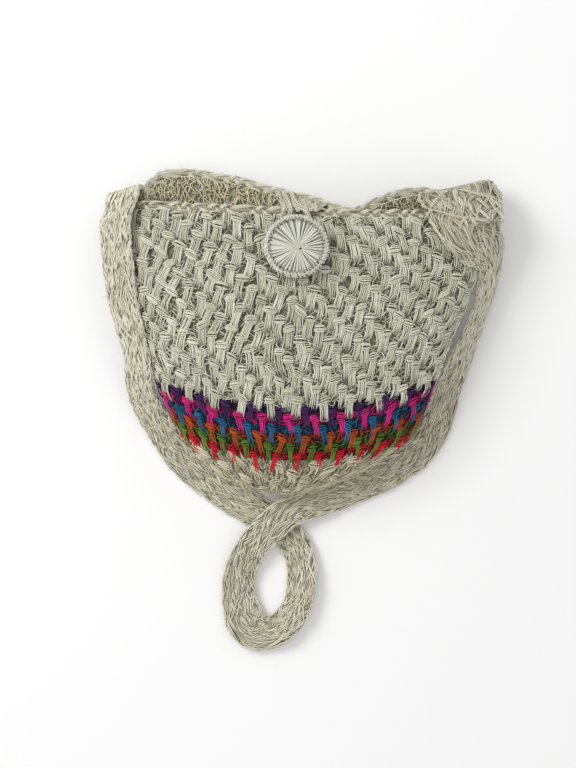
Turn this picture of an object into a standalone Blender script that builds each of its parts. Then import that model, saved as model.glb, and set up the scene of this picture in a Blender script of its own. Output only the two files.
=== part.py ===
# Crocheted shoulder bag, softly filled and lying on its back
# The front of the bag faces +Z, its mouth +Y and the loop of its strap -Y.
# The origin lies on the floor under the middle of the back.

import math

import bpy
import bmesh
from mathutils import Vector

MM = 0.001

# Sizes of the bag
MOTIFS = 24                      # stitches in a round
CREAM_ROUNDS = 19                # cream rounds above the coloured band
WALL_ROUND_HEIGHT = 8.4 * MM
BAND_ROUND_HEIGHT = 7.7 * MM
BASE_DEPTH = 27.7 * MM           # from the band to the bottom
MOUTH_Y = 103 * MM               # the front edge of the mouth from the origin
HALF_WIDTH = 146 * MM            # at the widest round
THICKNESS = 70 * MM              # back to front, filled
ROUND_BOW = 23.5 * MM            # how far the ends of a round bend up
WALL = 4.5 * MM                  # thickness of the fabric
BACK_PLANE = 0.8 * MM            # how much the resting weight flattens the back

# Sizes of a stitch
HEAD_RISE = 3.0 * MM
TAIL_RISE = 2.5 * MM
TAIL_WIDTH = 4.4 * MM
TAIL_ROUNDS = 2.3                # rounds that a tail reaches over
KNIT_HEAD_RISE = 2.2 * MM        # the same stitches in the cream wall
KNIT_TAIL_RISE = 1.2 * MM
BASE_HEAD_RISE = 0.8 * MM
PRESSED_HEIGHT = 3.0 * MM        # stitches under this height are pressed flat

# Gaps between pieces
SEAT_GAP = 0.3 * MM
ROUND_GAP = 0.5 * MM
TAIL_GAP = 0.45 * MM
TAIL_END_GAP = 1.4 * MM
EDGE_GAP = 0.8 * MM

# Sizes of the edging, the button and its loop
EDGE_RADIUS = 3.0 * MM
EDGE_LINKS = 48
BUTTON_RADIUS = 25.5 * MM
BUTTON_HEIGHT = 6.0 * MM
BUTTON_RIBS = 18
BUTTON_X = 7.5 * MM
BUTTON_DEPTH = 29.5 * MM         # from the front edge of the mouth
SHANK_RADIUS = 5 * MM
SHANK_HEIGHT = 5.5 * MM
LOOP_RADIUS = 1.9 * MM
# The loop's way round the shank: right and ahead of the button's middle, in mm
LOOP_TURN = ((-27.5, 5), (-24, -5), (-13, -10.5), (0, -11.5), (10, -7), (13.5, 3), (14, 14))

# Sizes of the strap
STRAP_WIDTH = 31 * MM
STRAP_THICKNESS = 4.0 * MM
STRAP_ROW = 11 * MM              # spacing of the strap's rows
STRAP_LEAN = 30                  # degrees that it leans on the shoulders
STRAP_CLEARANCE = 10 * MM        # middle of the strap outside the bag's outline
FOLD_RADIUS = 5.0 * MM
LEFT_FLARE = (1.1, 1.2)          # widening of the strap at its sewn end and past its fold
RIGHT_FLARE = (1.7, 2.5)
LEFT_SWING = -20                 # degrees that each fold is turned up at its outer end
RIGHT_SWING = 28
FOLD_RISE = 4 * MM               # from the edging up to each fold
RIGHT_SHIFT = 10 * MM            # how far the right end is set in from the side of the mouth
SEAM_RADIUS = 1.6 * MM

# Rows of: share of the length, of the half width, of the thickness and of the bow,
# then the middle's place across the bag and the lift of the underside, in mm
PROFILE = (
    (0.00, 0.980, 0.84, 0.17, 7.0, 0),
    (0.18, 1.007, 0.94, 0.30, 13.0, 0),
    (0.33, 0.966, 1.00, 0.43, 11.0, 0),
    (0.50, 0.890, 1.00, 0.72, 8.5, 0),
    (0.60, 0.842, 0.97, 0.87, 8.0, 0),
    (0.71, 0.795, 0.90, 1.00, 7.0, 0),
    (0.80, 0.720, 0.81, 0.85, 8.0, 0),
    (0.87, 0.640, 0.72, 0.70, 7.5, 0),
    (0.90, 0.590, 0.66, 0.64, 6.0, 1),
    (0.97, 0.425, 0.47, 0.50, 0.5, 5),
    (1.00, 0.280, 0.28, 0.34, -3.0, 10),
)

# The back edge of the mouth: place across as a share of the half width, rise past the front edge
# in mm, and lift as a share of the thickness
BACK_EDGE = (
    (-0.979, 2, 0.029),
    (-0.890, 11, 0.086),
    (-0.719, 34, 0.114),
    (-0.356, 31.5, 0.214),
    (-0.055, 20, 0.357),
    (0.171, 10.5, 0.543),
    (0.356, 1, 0.643),
    (0.596, 14, 0.429),
    (0.801, 18, 0.286),
    (0.959, 8, 0.114),
    (1.062, 2, 0.029),
)
BACK_EDGE_REACH = 110 * MM       # depth over which the rise of the back edge dies out
BACK_LIFT_REACH = 65 * MM        # depth over which its lift dies out
MOUTH_SLOPE = 0.036              # the front edge runs down to the right
FRONT_POWER = 2.45               # squareness of the front shoulders
BACK_POWER = 3.2                 # squareness of the back shoulders
FRONT_CROWD = 0.08               # share by which stitches crowd on the front of the mouth
INNER_RINGS = (0.1, 0.24, 0.42, 0.63, 0.84, 1.0)    # shares of the cream wall's depth

# The strap: place across, distance below the mouth's front edge, height as a share of the
# thickness, share of the width, and lean in degrees. The first list is counted from the bag's left
# outline and the last from its right one. The middle list lies on the floor: its place across is a
# share of the half width, and its distance is counted from the bag's bottom. The rest is in mm
LEFT_RUN = (
    (0, 9, 0.66, 1.00, 30),
    (0, 34, 0.64, 1.00, 30),
    (0, 64, 0.62, 0.98, 32),
    (-0.5, 92, 0.62, 0.95, 36),
    (-3, 118, 0.53, 0.92, 40),
    (-7, 142, 0.38, 0.90, 38),
    (-11, 162, 0.24, 0.88, 30),
)
FREE_RUN = (
    (-0.699, -42, 8, 0.90, 16),
    (-0.589, -22, 4, 0.92, 6),
    (-0.418, -2, 3.2, 0.92, 2),
    (-0.233, 15, 3.2, 0.90, 0),
    (-0.075, 28, 3.2, 0.86, 0),
    (0.027, 43, 3.4, 0.84, 4),
    (0.075, 61, 4.5, 0.84, 10),
    (0.082, 80, 6, 0.84, 16),
    (0.055, 99, 6.5, 0.82, 20),
    (-0.014, 115, 6.5, 0.84, 16),
    (-0.110, 123, 5, 0.94, 8),
    (-0.225, 119, 5, 1.14, 4),
    (-0.277, 101, 4.5, 1.02, 0),
    (-0.293, 83, 4.5, 0.92, 0),
    (-0.274, 66, 6, 0.88, 0),
    (-0.212, 49, 9, 0.88, 0),
    (-0.116, 33, 11, 0.88, 0),
    (0.007, 18, 11, 0.88, 0),
    (0.178, 10, 8, 0.86, 8),
    (0.390, -1, 5, 0.86, 10),
    (0.603, -15, 4.5, 0.86, 10),
    (0.774, -33, 4.5, 0.86, 8),
    (0.884, -58, 4.5, 0.86, 8),
)
RIGHT_RUN = (
    (15, 146, 0.17, 0.86, 20),
    (17, 124, 0.25, 0.84, 38),
    (18, 101, 0.30, 0.82, 52),
    (17, 81, 0.33, 0.82, 54),
    (15, 60, 0.36, 0.84, 50),
    (12, 41, 0.46, 0.92, 42),
    (7, 26, 0.62, 1.20, 32),
    (-3, 12, 0.80, 1.90, 30),
)

WALL_LENGTH = CREAM_ROUNDS * WALL_ROUND_HEIGHT
BAND = (
    ("purple_round", (0.030, 0.013, 0.042)),
    ("magenta_round", (0.420, 0.010, 0.130)),
    ("blue_round", (0.020, 0.060, 0.105)),
    ("orange_round", (0.235, 0.050, 0.010)),
    ("green_round", (0.060, 0.125, 0.025)),
    ("red_round", (0.350, 0.012, 0.025)),
)
BAND_LENGTH = len(BAND) * BAND_ROUND_HEIGHT
LENGTH = WALL_LENGTH + BAND_LENGTH + BASE_DEPTH
COLUMNS = 3 * MOTIFS             # a head, a tail and a gap take one column each
CREAM = (0.400, 0.390, 0.290)
PALE_CREAM = (0.520, 0.520, 0.430)

parts = bpy.data.collections.new("crocheted_shoulder_bag")


def clear_scene():
    for thing in list(bpy.data.objects):
        bpy.data.objects.remove(thing, do_unlink=True)
    bpy.context.scene.collection.children.link(parts)


def make_material(name, colour, roughness=0.9):
    material = bpy.data.materials.new(name)
    material.use_nodes = True
    shader = material.node_tree.nodes["Principled BSDF"]
    shader.inputs["Base Color"].default_value = (*colour, 1.0)
    shader.inputs["Roughness"].default_value = roughness
    return material


def add_part(name, bm, colour):
    bmesh.ops.recalc_face_normals(bm, faces=bm.faces)
    mesh = bpy.data.meshes.new(name)
    bm.to_mesh(mesh)
    bm.free()
    mesh.materials.append(make_material(name, colour))
    part = bpy.data.objects.new(name, mesh)
    parts.objects.link(part)
    return part


# Smooth curves through hand-set stations

def ease(share):
    share = min(max(share, 0.0), 1.0)
    return share * share * (3 - 2 * share)


def through(stations, at, column):
    """Value of one column at a place along the first, on a smooth curve through the rows."""
    last = len(stations) - 1
    at = min(max(at, stations[0][0]), stations[last][0])
    i = 0
    while i < last - 1 and at > stations[i + 1][0]:
        i += 1
    x0, x1 = stations[i][0], stations[i + 1][0]
    y0, y1 = stations[i][column], stations[i + 1][column]

    def slope(k):
        low, high = max(k - 1, 0), min(k + 1, last)
        return (stations[high][column] - stations[low][column]) / (stations[high][0] - stations[low][0])

    span = x1 - x0
    t = (at - x0) / span
    return ((2 * t**3 - 3 * t**2 + 1) * y0 + (t**3 - 2 * t**2 + t) * span * slope(i)
            + (3 * t**2 - 2 * t**3) * y1 + (t**3 - t**2) * span * slope(i + 1))


def smooth_path(points, spacing):
    """Evenly spaced samples on a smooth curve through rows of numbers, measured by the first three."""
    dense = []
    for i in range(len(points) - 1):
        before = points[max(i - 1, 0)]
        start, end = points[i], points[i + 1]
        after = points[min(i + 2, len(points) - 1)]
        for step in range(12):
            t = step / 12
            dense.append([
                0.5 * (2 * b + (c - a) * t + (2 * a - 5 * b + 4 * c - d) * t * t
                       + (3 * b - a - 3 * c + d) * t**3)
                for a, b, c, d in zip(before, start, end, after)
            ])
    dense.append(list(points[-1]))
    walked = [0.0]
    for a, b in zip(dense, dense[1:]):
        walked.append(walked[-1] + math.dist(a[:3], b[:3]))
    count = max(round(walked[-1] / spacing), 2)
    samples = []
    k = 0
    for n in range(count + 1):
        want = walked[-1] * n / count
        while k < len(dense) - 2 and walked[k + 1] < want:
            k += 1
        t = (want - walked[k]) / max(walked[k + 1] - walked[k], 1e-9)
        samples.append([a + (b - a) * t for a, b in zip(dense[k], dense[k + 1])])
    return samples


# The form of the bag: a depth below the mouth and a turn round it give a point

def bag_at(depth, angle):
    share = depth / LENGTH
    half_width = HALF_WIDTH * through(PROFILE, share, 1)
    half_thick = THICKNESS * through(PROFILE, share, 2) / 2
    bow = ROUND_BOW * through(PROFILE, share, 3)
    middle = through(PROFILE, share, 4) * MM
    lift = through(PROFILE, share, 5) * MM
    across, up = math.sin(angle), math.cos(angle)
    power = FRONT_POWER if up > 0 else BACK_POWER
    wide = math.copysign(abs(across) ** (2 / power), across)
    high = math.copysign(abs(up) ** (2 / power), up)
    x = middle + half_width * wide
    y = MOUTH_Y - depth + bow * wide * wide
    z = half_thick * (1 + high) - BACK_PLANE + lift
    y -= MOUTH_SLOPE * half_width * wide * (1 - ease(depth / BACK_EDGE_REACH)) * max(up, 0) ** 0.5
    on_back = ease(-up / 0.6)
    place = x / HALF_WIDTH
    y += through(BACK_EDGE, place, 1) * MM * on_back * (1 - ease(depth / BACK_EDGE_REACH))
    z += through(BACK_EDGE, place, 2) * THICKNESS * on_back * (1 - ease(depth / BACK_LIFT_REACH))
    return Vector((x, y, z))


section_cache = {}
SECTION_STEPS = 240


def section(depth):
    """Length round the bag up to each of its angles, at one depth."""
    key = round(depth, 7)
    if key not in section_cache:
        lengths = [0.0]
        before = bag_at(depth, 0)
        for step in range(1, SECTION_STEPS + 1):
            here = bag_at(depth, math.tau * step / SECTION_STEPS)
            lengths.append(lengths[-1] + (here - before).length)
            before = here
        section_cache[key] = lengths
    return section_cache[key]


def on_bag(depth, turn):
    """Point on the fabric's outer face: turn 0 is mid front, 0.25 about the right side."""
    crowd = FRONT_CROWD * max(1 - depth / (0.7 * LENGTH), 0)
    turn = turn - crowd * math.sin(math.tau * turn) / math.tau
    lengths = section(depth)
    want = (turn % 1.0) * lengths[-1]
    low, high = 0, SECTION_STEPS
    while high - low > 1:
        mid = (low + high) // 2
        if lengths[mid] <= want:
            low = mid
        else:
            high = mid
    t = (want - lengths[low]) / (lengths[high] - lengths[low])
    return bag_at(depth, math.tau * (low + t) / SECTION_STEPS)


def facing(depth, turn):
    step = 1.5 * MM
    near, far = max(depth - step, 0), min(depth + step, LENGTH)
    along = on_bag(far, turn) - on_bag(near, turn)
    around = on_bag(depth, turn + 0.004) - on_bag(depth, turn - 0.004)
    return along.cross(around).normalized()


def skin(depth, turn, out=0.0):
    """Point at a height over the outer face, and never under the floor."""
    point = on_bag(depth, turn) + facing(depth, turn) * out
    point.z = max(point.z, 0.0 if out > -WALL / 2 else 0.6 * MM)
    return point


# Rings of points joined into shells

def ring_of(bm, points):
    return [bm.verts.new(point) for point in points]


def band_between(bm, ring, following):
    count = len(ring)
    return [
        bm.faces.new((ring[i], following[i], following[(i + 1) % count], ring[(i + 1) % count]))
        for i in range(count)
    ]


def collar(bm, many, few):
    """Joins a fine ring to a coarse one that has one point for each group of its points."""
    group = len(many) // len(few)
    for j, vert in enumerate(few):
        outer = [many[(j * group + k) % len(many)] for k in range(group + 1)]
        bm.faces.new(outer + [few[(j + 1) % len(few)], vert])


def pull_out(bm, face, targets):
    """Extrudes one face and moves each copied corner to the target given for its old place."""
    old = [(corner.co.copy(), target) for corner, target in targets]
    top = bmesh.ops.extrude_discrete_faces(bm, faces=[face])["faces"][0]
    moved = []
    for place, target in old:
        corner = min(top.verts, key=lambda vert: (vert.co - place).length)
        moved.append((corner, target))
    for corner, target in moved:
        corner.co = target
    return top, [corner for corner, target in moved]


def side_face(corner_a, corner_b, top):
    for face in corner_a.link_faces:
        if face is not top and corner_b in face.verts:
            return face
    raise RuntimeError("a stitch has no side")


def pressed_flat(turn, depths):
    """True where the resting weight presses a stitch into the fabric against the floor."""
    return any((on_bag(d, turn) + facing(d, turn) * TAIL_END_GAP).z < PRESSED_HEIGHT for d in depths)


def end_gap(turn, start, end):
    """Height of a tail's end that keeps its straight run clear of the curve below it."""
    middle = (start + end) / 2
    chord = (on_bag(start, turn) + on_bag(end, turn)) / 2
    sag = (on_bag(middle, turn) - chord).dot(facing(middle, turn))
    return max(TAIL_END_GAP, 2 * (sag + TAIL_GAP + BASE_HEAD_RISE / 2) - TAIL_GAP)


def add_stitch(bm, cell, column, depths, rise, end_depth, top_width):
    """Raises a head on a cell of the wall and draws its tail down over the rounds below."""
    turn = column / COLUMNS
    if pressed_flat(turn, (*depths, end_depth)):
        return
    a, b, c, d = cell.verts
    head_turn = top_width / 2 / (section(depths[0])[-1])
    low, high = depths[0] + 0.7 * MM, depths[1] - 0.3 * MM
    top, (a1, b1, c1, d1) = pull_out(bm, cell, (
        (a, skin(low, turn - head_turn, rise)),
        (b, skin(high, turn - head_turn, rise)),
        (c, skin(high, turn + head_turn, rise)),
        (d, skin(low, turn + head_turn, rise)),
    ))
    front = side_face(b1, c1, top)
    half = TAIL_WIDTH / 2 / section(end_depth)[-1]
    corners = (b, b1, c1, c)
    edge = depths[1] + 0.85 * ROUND_GAP
    for depth, gap, width in ((edge, TAIL_GAP, 1.0), (end_depth, end_gap(turn, edge, end_depth), 0.8)):
        left, right = turn - half * width, turn + half * width
        top_rise = gap + TAIL_RISE * (0.95 if width == 1.0 else 0.75)
        front, corners = pull_out(bm, front, (
            (corners[0], skin(depth, left, gap)),
            (corners[1], skin(depth, left, top_rise)),
            (corners[2], skin(depth, right, top_rise)),
            (corners[3], skin(depth, right, gap)),
        ))


def round_depth(number):
    """Depth of the middle of a round, counted from the mouth."""
    if number < CREAM_ROUNDS:
        return (number + 0.55) * WALL_ROUND_HEIGHT
    return WALL_LENGTH + (number - CREAM_ROUNDS + 0.5) * BAND_ROUND_HEIGHT


def knit_rise(number, column, head, tail):
    phase = (column - number) % 3
    return (head, tail * 0.6, tail)[phase]


def make_upper_wall():
    bm = bmesh.new()
    last = CREAM_ROUNDS - 1
    bottom = WALL_LENGTH - ROUND_GAP / 2
    block = (bottom - 5.8 * MM, bottom)
    depths = [0.0] + [round_depth(r) for r in range(last)] + list(block)
    rings = []
    for row, depth in enumerate(depths):
        points = []
        for c in range(COLUMNS):
            rise = 0.0
            if 0 < row <= last:
                rise = knit_rise(row - 1, c, KNIT_HEAD_RISE, KNIT_TAIL_RISE)
            points.append(skin(depth, (c - 0.5) / COLUMNS, rise))
        rings.append(ring_of(bm, points))
    for ring, following in zip(rings, rings[1:]):
        cells = band_between(bm, ring, following)
    inside_edge = ring_of(bm, [skin(0.0, (c - 0.5) / COLUMNS, -WALL) for c in range(COLUMNS)])
    inner = [
        ring_of(bm, [skin(d, (3 * j - 0.5) / COLUMNS, -WALL) for j in range(MOTIFS)])
        for d in [bottom * share for share in INNER_RINGS]
    ]
    for ring, following in zip(inner, inner[1:]):
        band_between(bm, following, ring)
    band_between(bm, inside_edge, rings[0])
    collar(bm, inside_edge, inner[0])
    collar(bm, rings[-1], inner[-1])
    for number in (last - 1, last):
        for c in range(number % 3, COLUMNS, 3):
            end = WALL_LENGTH + (number + TAIL_ROUNDS + 0.5 - CREAM_ROUNDS) * BAND_ROUND_HEIGHT
            rise = HEAD_RISE if number == last else TAIL_RISE
            add_stitch(bm, cells[c], c, block, rise, end, TAIL_WIDTH * (1.3 if number == last else 1.0))
    flatten_back(bm)
    return add_part("upper_wall", bm, CREAM)


def flatten_back(bm):
    """Makes one flat face of the stitches that are pressed flat against the floor."""
    flat = [face for face in bm.faces if all(vert.co.z < 1e-6 for vert in face.verts)]
    if len(flat) > 1:
        edges = {edge for face in flat for edge in face.edges
                 if all(other in flat for other in edge.link_faces)}
        verts = {vert for edge in edges for vert in edge.verts
                 if all(face in flat for face in vert.link_faces)}
        bmesh.ops.dissolve_limit(bm, angle_limit=math.radians(0.5), verts=list(verts), edges=list(edges))


def make_band_round(index, name, colour):
    bm = bmesh.new()
    number = CREAM_ROUNDS + index
    top = WALL_LENGTH + index * BAND_ROUND_HEIGHT + ROUND_GAP / 2
    bottom = WALL_LENGTH + (index + 1) * BAND_ROUND_HEIGHT - ROUND_GAP / 2
    turns = [(c - 0.5) / COLUMNS for c in range(COLUMNS)]
    rings = [ring_of(bm, [skin(d, turn) for turn in turns]) for d in (top, bottom)]
    cells = band_between(bm, rings[0], rings[1])
    inner = [ring_of(bm, [skin(d, turn, -WALL) for turn in turns[::3]]) for d in (top, bottom)]
    band_between(bm, inner[1], inner[0])
    collar(bm, rings[0], inner[0])
    collar(bm, rings[1], inner[1])
    for c in range(number % 3, COLUMNS, 3):
        end = WALL_LENGTH + (index + TAIL_ROUNDS + 0.5) * BAND_ROUND_HEIGHT
        add_stitch(bm, cells[c], c, (top, bottom), HEAD_RISE, end, TAIL_WIDTH * 1.35)
    flatten_back(bm)
    return add_part(name, bm, colour)


def make_base():
    bm = bmesh.new()
    top = WALL_LENGTH + BAND_LENGTH + ROUND_GAP / 2
    rows = 3
    rings = [ring_of(bm, [skin(top, (c - 0.5) / COLUMNS) for c in range(COLUMNS)])]
    for row in range(rows):
        number = CREAM_ROUNDS + len(BAND) + row
        depth = top + (row + 0.5) * BASE_DEPTH * 0.27
        rings.append(ring_of(bm, [
            skin(depth, c / COLUMNS, knit_rise(number, c, BASE_HEAD_RISE, 0.0))
            for c in range(COLUMNS)
        ]))
    for ring, following in zip(rings, rings[1:]):
        band_between(bm, ring, following)
    edge = ring_of(bm, [skin(LENGTH - 4 * MM, j / MOTIFS) for j in range(MOTIFS)])
    collar(bm, rings[-1], edge)
    tip = ring_of(bm, [skin(LENGTH, j / MOTIFS) for j in range(MOTIFS)])
    band_between(bm, edge, tip)
    close_end(bm, tip, 1.5 * MM)
    inner = [
        ring_of(bm, [skin(d, (3 * j - 0.5) / COLUMNS, -WALL) for j in range(MOTIFS)])
        for d in (top, top + BASE_DEPTH * 0.5, LENGTH - WALL)
    ]
    for ring, following in zip(inner, inner[1:]):
        band_between(bm, following, ring)
    collar(bm, rings[0], inner[0])
    close_end(bm, inner[-1], 0.5 * MM)
    flatten_back(bm)
    return add_part("base", bm, CREAM)


def close_end(bm, ring, bulge):
    """Closes the bottom with a smaller ring and a middle point."""
    middle = sum((vert.co for vert in ring), Vector()) / len(ring)
    small = ring_of(bm, [middle.lerp(vert.co, 0.5) + Vector((0, -bulge * 0.8, 0)) for vert in ring])
    band_between(bm, ring, small)
    tip = bm.verts.new(middle + Vector((0, -bulge, 0)))
    for i, vert in enumerate(small):
        bm.faces.new((vert, tip, small[(i + 1) % len(small)]))


# Cords and the edging

def tube(bm, centres, frames, sizes, sides, closed):
    """Sweeps an oval along centres; a frame gives its two directions and a size its half axes."""
    rings = []
    for centre, (one, two), (half_one, half_two) in zip(centres, frames, sizes):
        rings.append(ring_of(bm, [
            centre + one * half_one * math.cos(math.tau * k / sides)
            + two * half_two * math.sin(math.tau * k / sides)
            for k in range(sides)
        ]))
    pairs = list(zip(rings, rings[1:]))
    if closed:
        pairs.append((rings[-1], rings[0]))
    for ring, following in pairs:
        band_between(bm, ring, following)
    if not closed:
        bm.faces.new(rings[0])
        bm.faces.new(list(reversed(rings[-1])))


def edge_frame(turn):
    """Middle of the fabric's top edge, the way out of the mouth and the way off the fabric."""
    off = facing(0, turn)
    along = on_bag(0, turn + 0.004) - on_bag(0, turn - 0.004)
    way = off.cross(along).normalized()
    return on_bag(0, turn) - off * WALL / 2, way, off


def make_edging():
    bm = bmesh.new()
    centres, frames, sizes = [], [], []
    steps = 2 * EDGE_LINKS
    for k in range(steps):
        middle, way, off = edge_frame(k / steps)
        swell = 1.0 if k % 2 == 0 else 0.72
        centre = middle + way * (EDGE_GAP + EDGE_RADIUS)
        centre.z = max(centre.z, EDGE_RADIUS + 0.2 * MM)
        centres.append(centre)
        frames.append((way, off))
        sizes.append((EDGE_RADIUS * swell, EDGE_RADIUS * (0.75 + 0.35 * swell)))
    tube(bm, centres, frames, sizes, 5, True)
    return add_part("rim_edging", bm, PALE_CREAM)


def button_frame():
    """Foot of the button on the wall and the three directions of its face."""
    depth = BUTTON_DEPTH
    best = min((abs(on_bag(depth, turn / 400).x - BUTTON_X), turn / 400) for turn in range(-80, 81))
    turn = best[1]
    foot = on_bag(depth, turn)
    up = facing(depth, turn)
    right = Vector((0, 1, 0)).cross(up).normalized()
    return foot, right, up.cross(right), up


def make_button():
    foot, right, ahead, up = button_frame()
    base = foot + up * (KNIT_HEAD_RISE + SEAT_GAP + SHANK_HEIGHT + SEAT_GAP)
    bm = bmesh.new()
    steps = 2 * BUTTON_RIBS
    # radius share, height share and depth of the ribs for each ring from the back to the face
    rows = (
        (0.30, 0.00, 0.0), (0.90, 0.00, 0.0), (1.00, 0.35, 0.02), (0.985, 0.80, 0.02),
        (0.90, 1.00, 0.0), (0.78, 0.90, 0.10), (0.16, 0.98, 0.02),
    )
    rings = []
    for radius, height, rib in rows:
        points = []
        for k in range(steps):
            turn = math.tau * k / steps
            groove = 1.0 if k % 2 == 0 else 1.0 - rib
            reach = BUTTON_RADIUS * radius * (groove if rib < 0.05 else 1.0)
            level = BUTTON_HEIGHT * height * (groove if rib > 0.05 else 1.0)
            points.append(base + (right * math.cos(turn) + ahead * math.sin(turn)) * reach + up * level)
        rings.append(ring_of(bm, points))
    for ring, following in zip(rings, rings[1:]):
        band_between(bm, ring, following)
    bm.faces.new(rings[0])
    bm.faces.new(list(reversed(rings[-1])))
    add_part("button_disc", bm, PALE_CREAM)

    bm = bmesh.new()
    start = foot + up * (KNIT_HEAD_RISE + SEAT_GAP)
    centres = [start, start + up * SHANK_HEIGHT * 0.5, start + up * SHANK_HEIGHT]
    sizes = [(SHANK_RADIUS * s, SHANK_RADIUS * s) for s in (1.0, 0.75, 1.0)]
    tube(bm, centres, [(right, ahead)] * 3, sizes, 10, False)
    return add_part("button_shank", bm, PALE_CREAM)


def make_button_loop():
    """Yarn loop from the back edge of the mouth, over the front edge and round the shank."""
    foot, right, ahead, up = button_frame()
    over = KNIT_HEAD_RISE + SEAT_GAP + LOOP_RADIUS + 0.5 * MM
    front_edge = edge_frame(0.0)[0]
    ahead_of_foot = front_edge.y - foot.y
    top = front_edge.z + WALL / 2 + 1.1 * EDGE_RADIUS + SEAT_GAP + LOOP_RADIUS + 1.4 * MM

    def flat(x, y, lift=0.0):
        return foot + right * x * MM + ahead * y * MM + up * (over + lift * MM)

    edge_y = ahead_of_foot / MM
    back = back_edge_point(0.0)
    half = Vector((2.6 * MM, 0, 0))
    route = [
        back - half * 1.2,
        (back - half).lerp(Vector((foot.x - 3.5 * MM, front_edge.y, top)), 0.55) + Vector((0, 0, 1 * MM)),
        Vector((foot.x - 5 * MM, front_edge.y + 3 * MM, top)),
        flat(-10, edge_y - 9, 0.5),
        flat(-19, edge_y - 17),
        *[flat(x, y) for x, y in LOOP_TURN],
        flat(13, edge_y - 9, 0.5),
        Vector((foot.x + 8 * MM, front_edge.y + 3 * MM, top)),
        (back + half).lerp(Vector((foot.x + 4 * MM, front_edge.y, top)), 0.55) + Vector((0, 0, 1 * MM)),
        back + half * 1.2,
    ]
    samples = [Vector(point) for point in smooth_path([tuple(point) for point in route], 5.5 * MM)]
    bm = bmesh.new()
    frames = []
    for i in range(len(samples)):
        along = (samples[min(i + 1, len(samples) - 1)] - samples[max(i - 1, 0)]).normalized()
        one = along.cross(Vector((0.05, 0.1, 1))).normalized()
        frames.append((one, along.cross(one).normalized()))
    tube(bm, samples, frames, [(LOOP_RADIUS, LOOP_RADIUS)] * len(samples), 5, False)
    return add_part("button_loop", bm, PALE_CREAM)


def back_edge_point(x):
    """Point just over the edging of the back edge of the mouth at a place across it."""
    turn = min(((abs(on_bag(0, t / 400).x - x), t / 400) for t in range(140, 261)))[1]
    middle, way, off = edge_frame(turn)
    lift = Vector((0, 0, 1)) * (1.1 * EDGE_RADIUS + SEAT_GAP + LOOP_RADIUS + 0.7 * MM)
    return middle + way * (EDGE_GAP + EDGE_RADIUS) + lift


# The strap

def outline(side, depth):
    """Side of the bag, its point farthest out, at a distance below the front edge of the mouth."""
    y = MOUTH_Y - depth
    best = None
    for step in range(41):
        ring = LENGTH * step / 40
        point = bag_at(ring, math.pi / 2 * side)
        if best is None or abs(point.y - y) < abs(best.y - y):
            best = point
    return best


def strap_stations():
    """Rows of x, y, z, width, and the three parts of the direction across the strap."""
    rows = []
    for side, run in ((-1, LEFT_RUN), (0, FREE_RUN), (1, RIGHT_RUN)):
        for x, depth, height, width, lean in run:
            if side == 0:
                place = Vector((x * HALF_WIDTH, MOUTH_Y - LENGTH - depth * MM, height * MM))
            else:
                edge = outline(side, depth * MM)
                out = STRAP_CLEARANCE * side if side < 0 else 0.0
                place = Vector((edge.x + out + x * MM, edge.y, height * THICKNESS))
            rows.append([place, width, lean, side])
    stations = []
    for i, (place, width, lean, side) in enumerate(rows):
        along = rows[min(i + 1, len(rows) - 1)][0] - rows[max(i - 1, 0)][0]
        along.z = 0
        along.normalize()
        tilt = math.radians(lean)
        across = Vector((along.y, -along.x, 0)) * math.cos(tilt) - Vector((0, 0, math.sin(tilt)))
        stations.append([*place, width, *across])
    first = root_fold(-1, stations[0], LEFT_FLARE, FOLD_RADIUS, 0.0, LEFT_SWING)
    last = root_fold(1, stations[-1], RIGHT_FLARE, FOLD_RADIUS * 1.3, RIGHT_SHIFT, RIGHT_SWING)
    return first + stations + list(reversed(last))


def root_fold(side, joined, flare, radius, shift, swing):
    """Stations of a strap end that rises off the mouth's side and folds over to the outside."""
    edge = bag_at(0, math.pi / 2 * side) - Vector((side * shift, 0, 0))
    lean = math.radians(STRAP_LEAN)
    swing = math.radians(swing)
    across = Vector((side * math.cos(lean), 0, -math.sin(lean)))
    swung = Vector((across.x * math.cos(swing), math.sin(swing), across.z))
    normal = Vector((side * math.sin(lean), 0, math.cos(lean)))
    foot = edge + Vector((side * -1.0 * MM, 2 * EDGE_RADIUS + EDGE_GAP + 2 * SEAT_GAP + 2 * SEAM_RADIUS, 0))
    top = foot + Vector((0, FOLD_RISE, 0)) + normal * 0.1 * FOLD_RISE
    rows = [(foot, flare[0], across), (top, flare[0], across)]
    for degrees in (45, 90, 135, 180):
        turn = math.radians(degrees)
        place = top + normal * radius * (1 - math.cos(turn)) + Vector((0, 1, 0)) * radius * math.sin(turn)
        width = flare[0] + (flare[1] - flare[0]) * ease(degrees / 180)
        rows.append((place, width, across.lerp(swung, degrees / 180)))
    down = Vector(joined[:3])
    rows.append((rows[-1][0].lerp(down, 0.5), flare[1] * 0.5 + joined[3] * 0.5, swung))
    return [[*place, width, *way] for place, width, way in rows]


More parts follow.
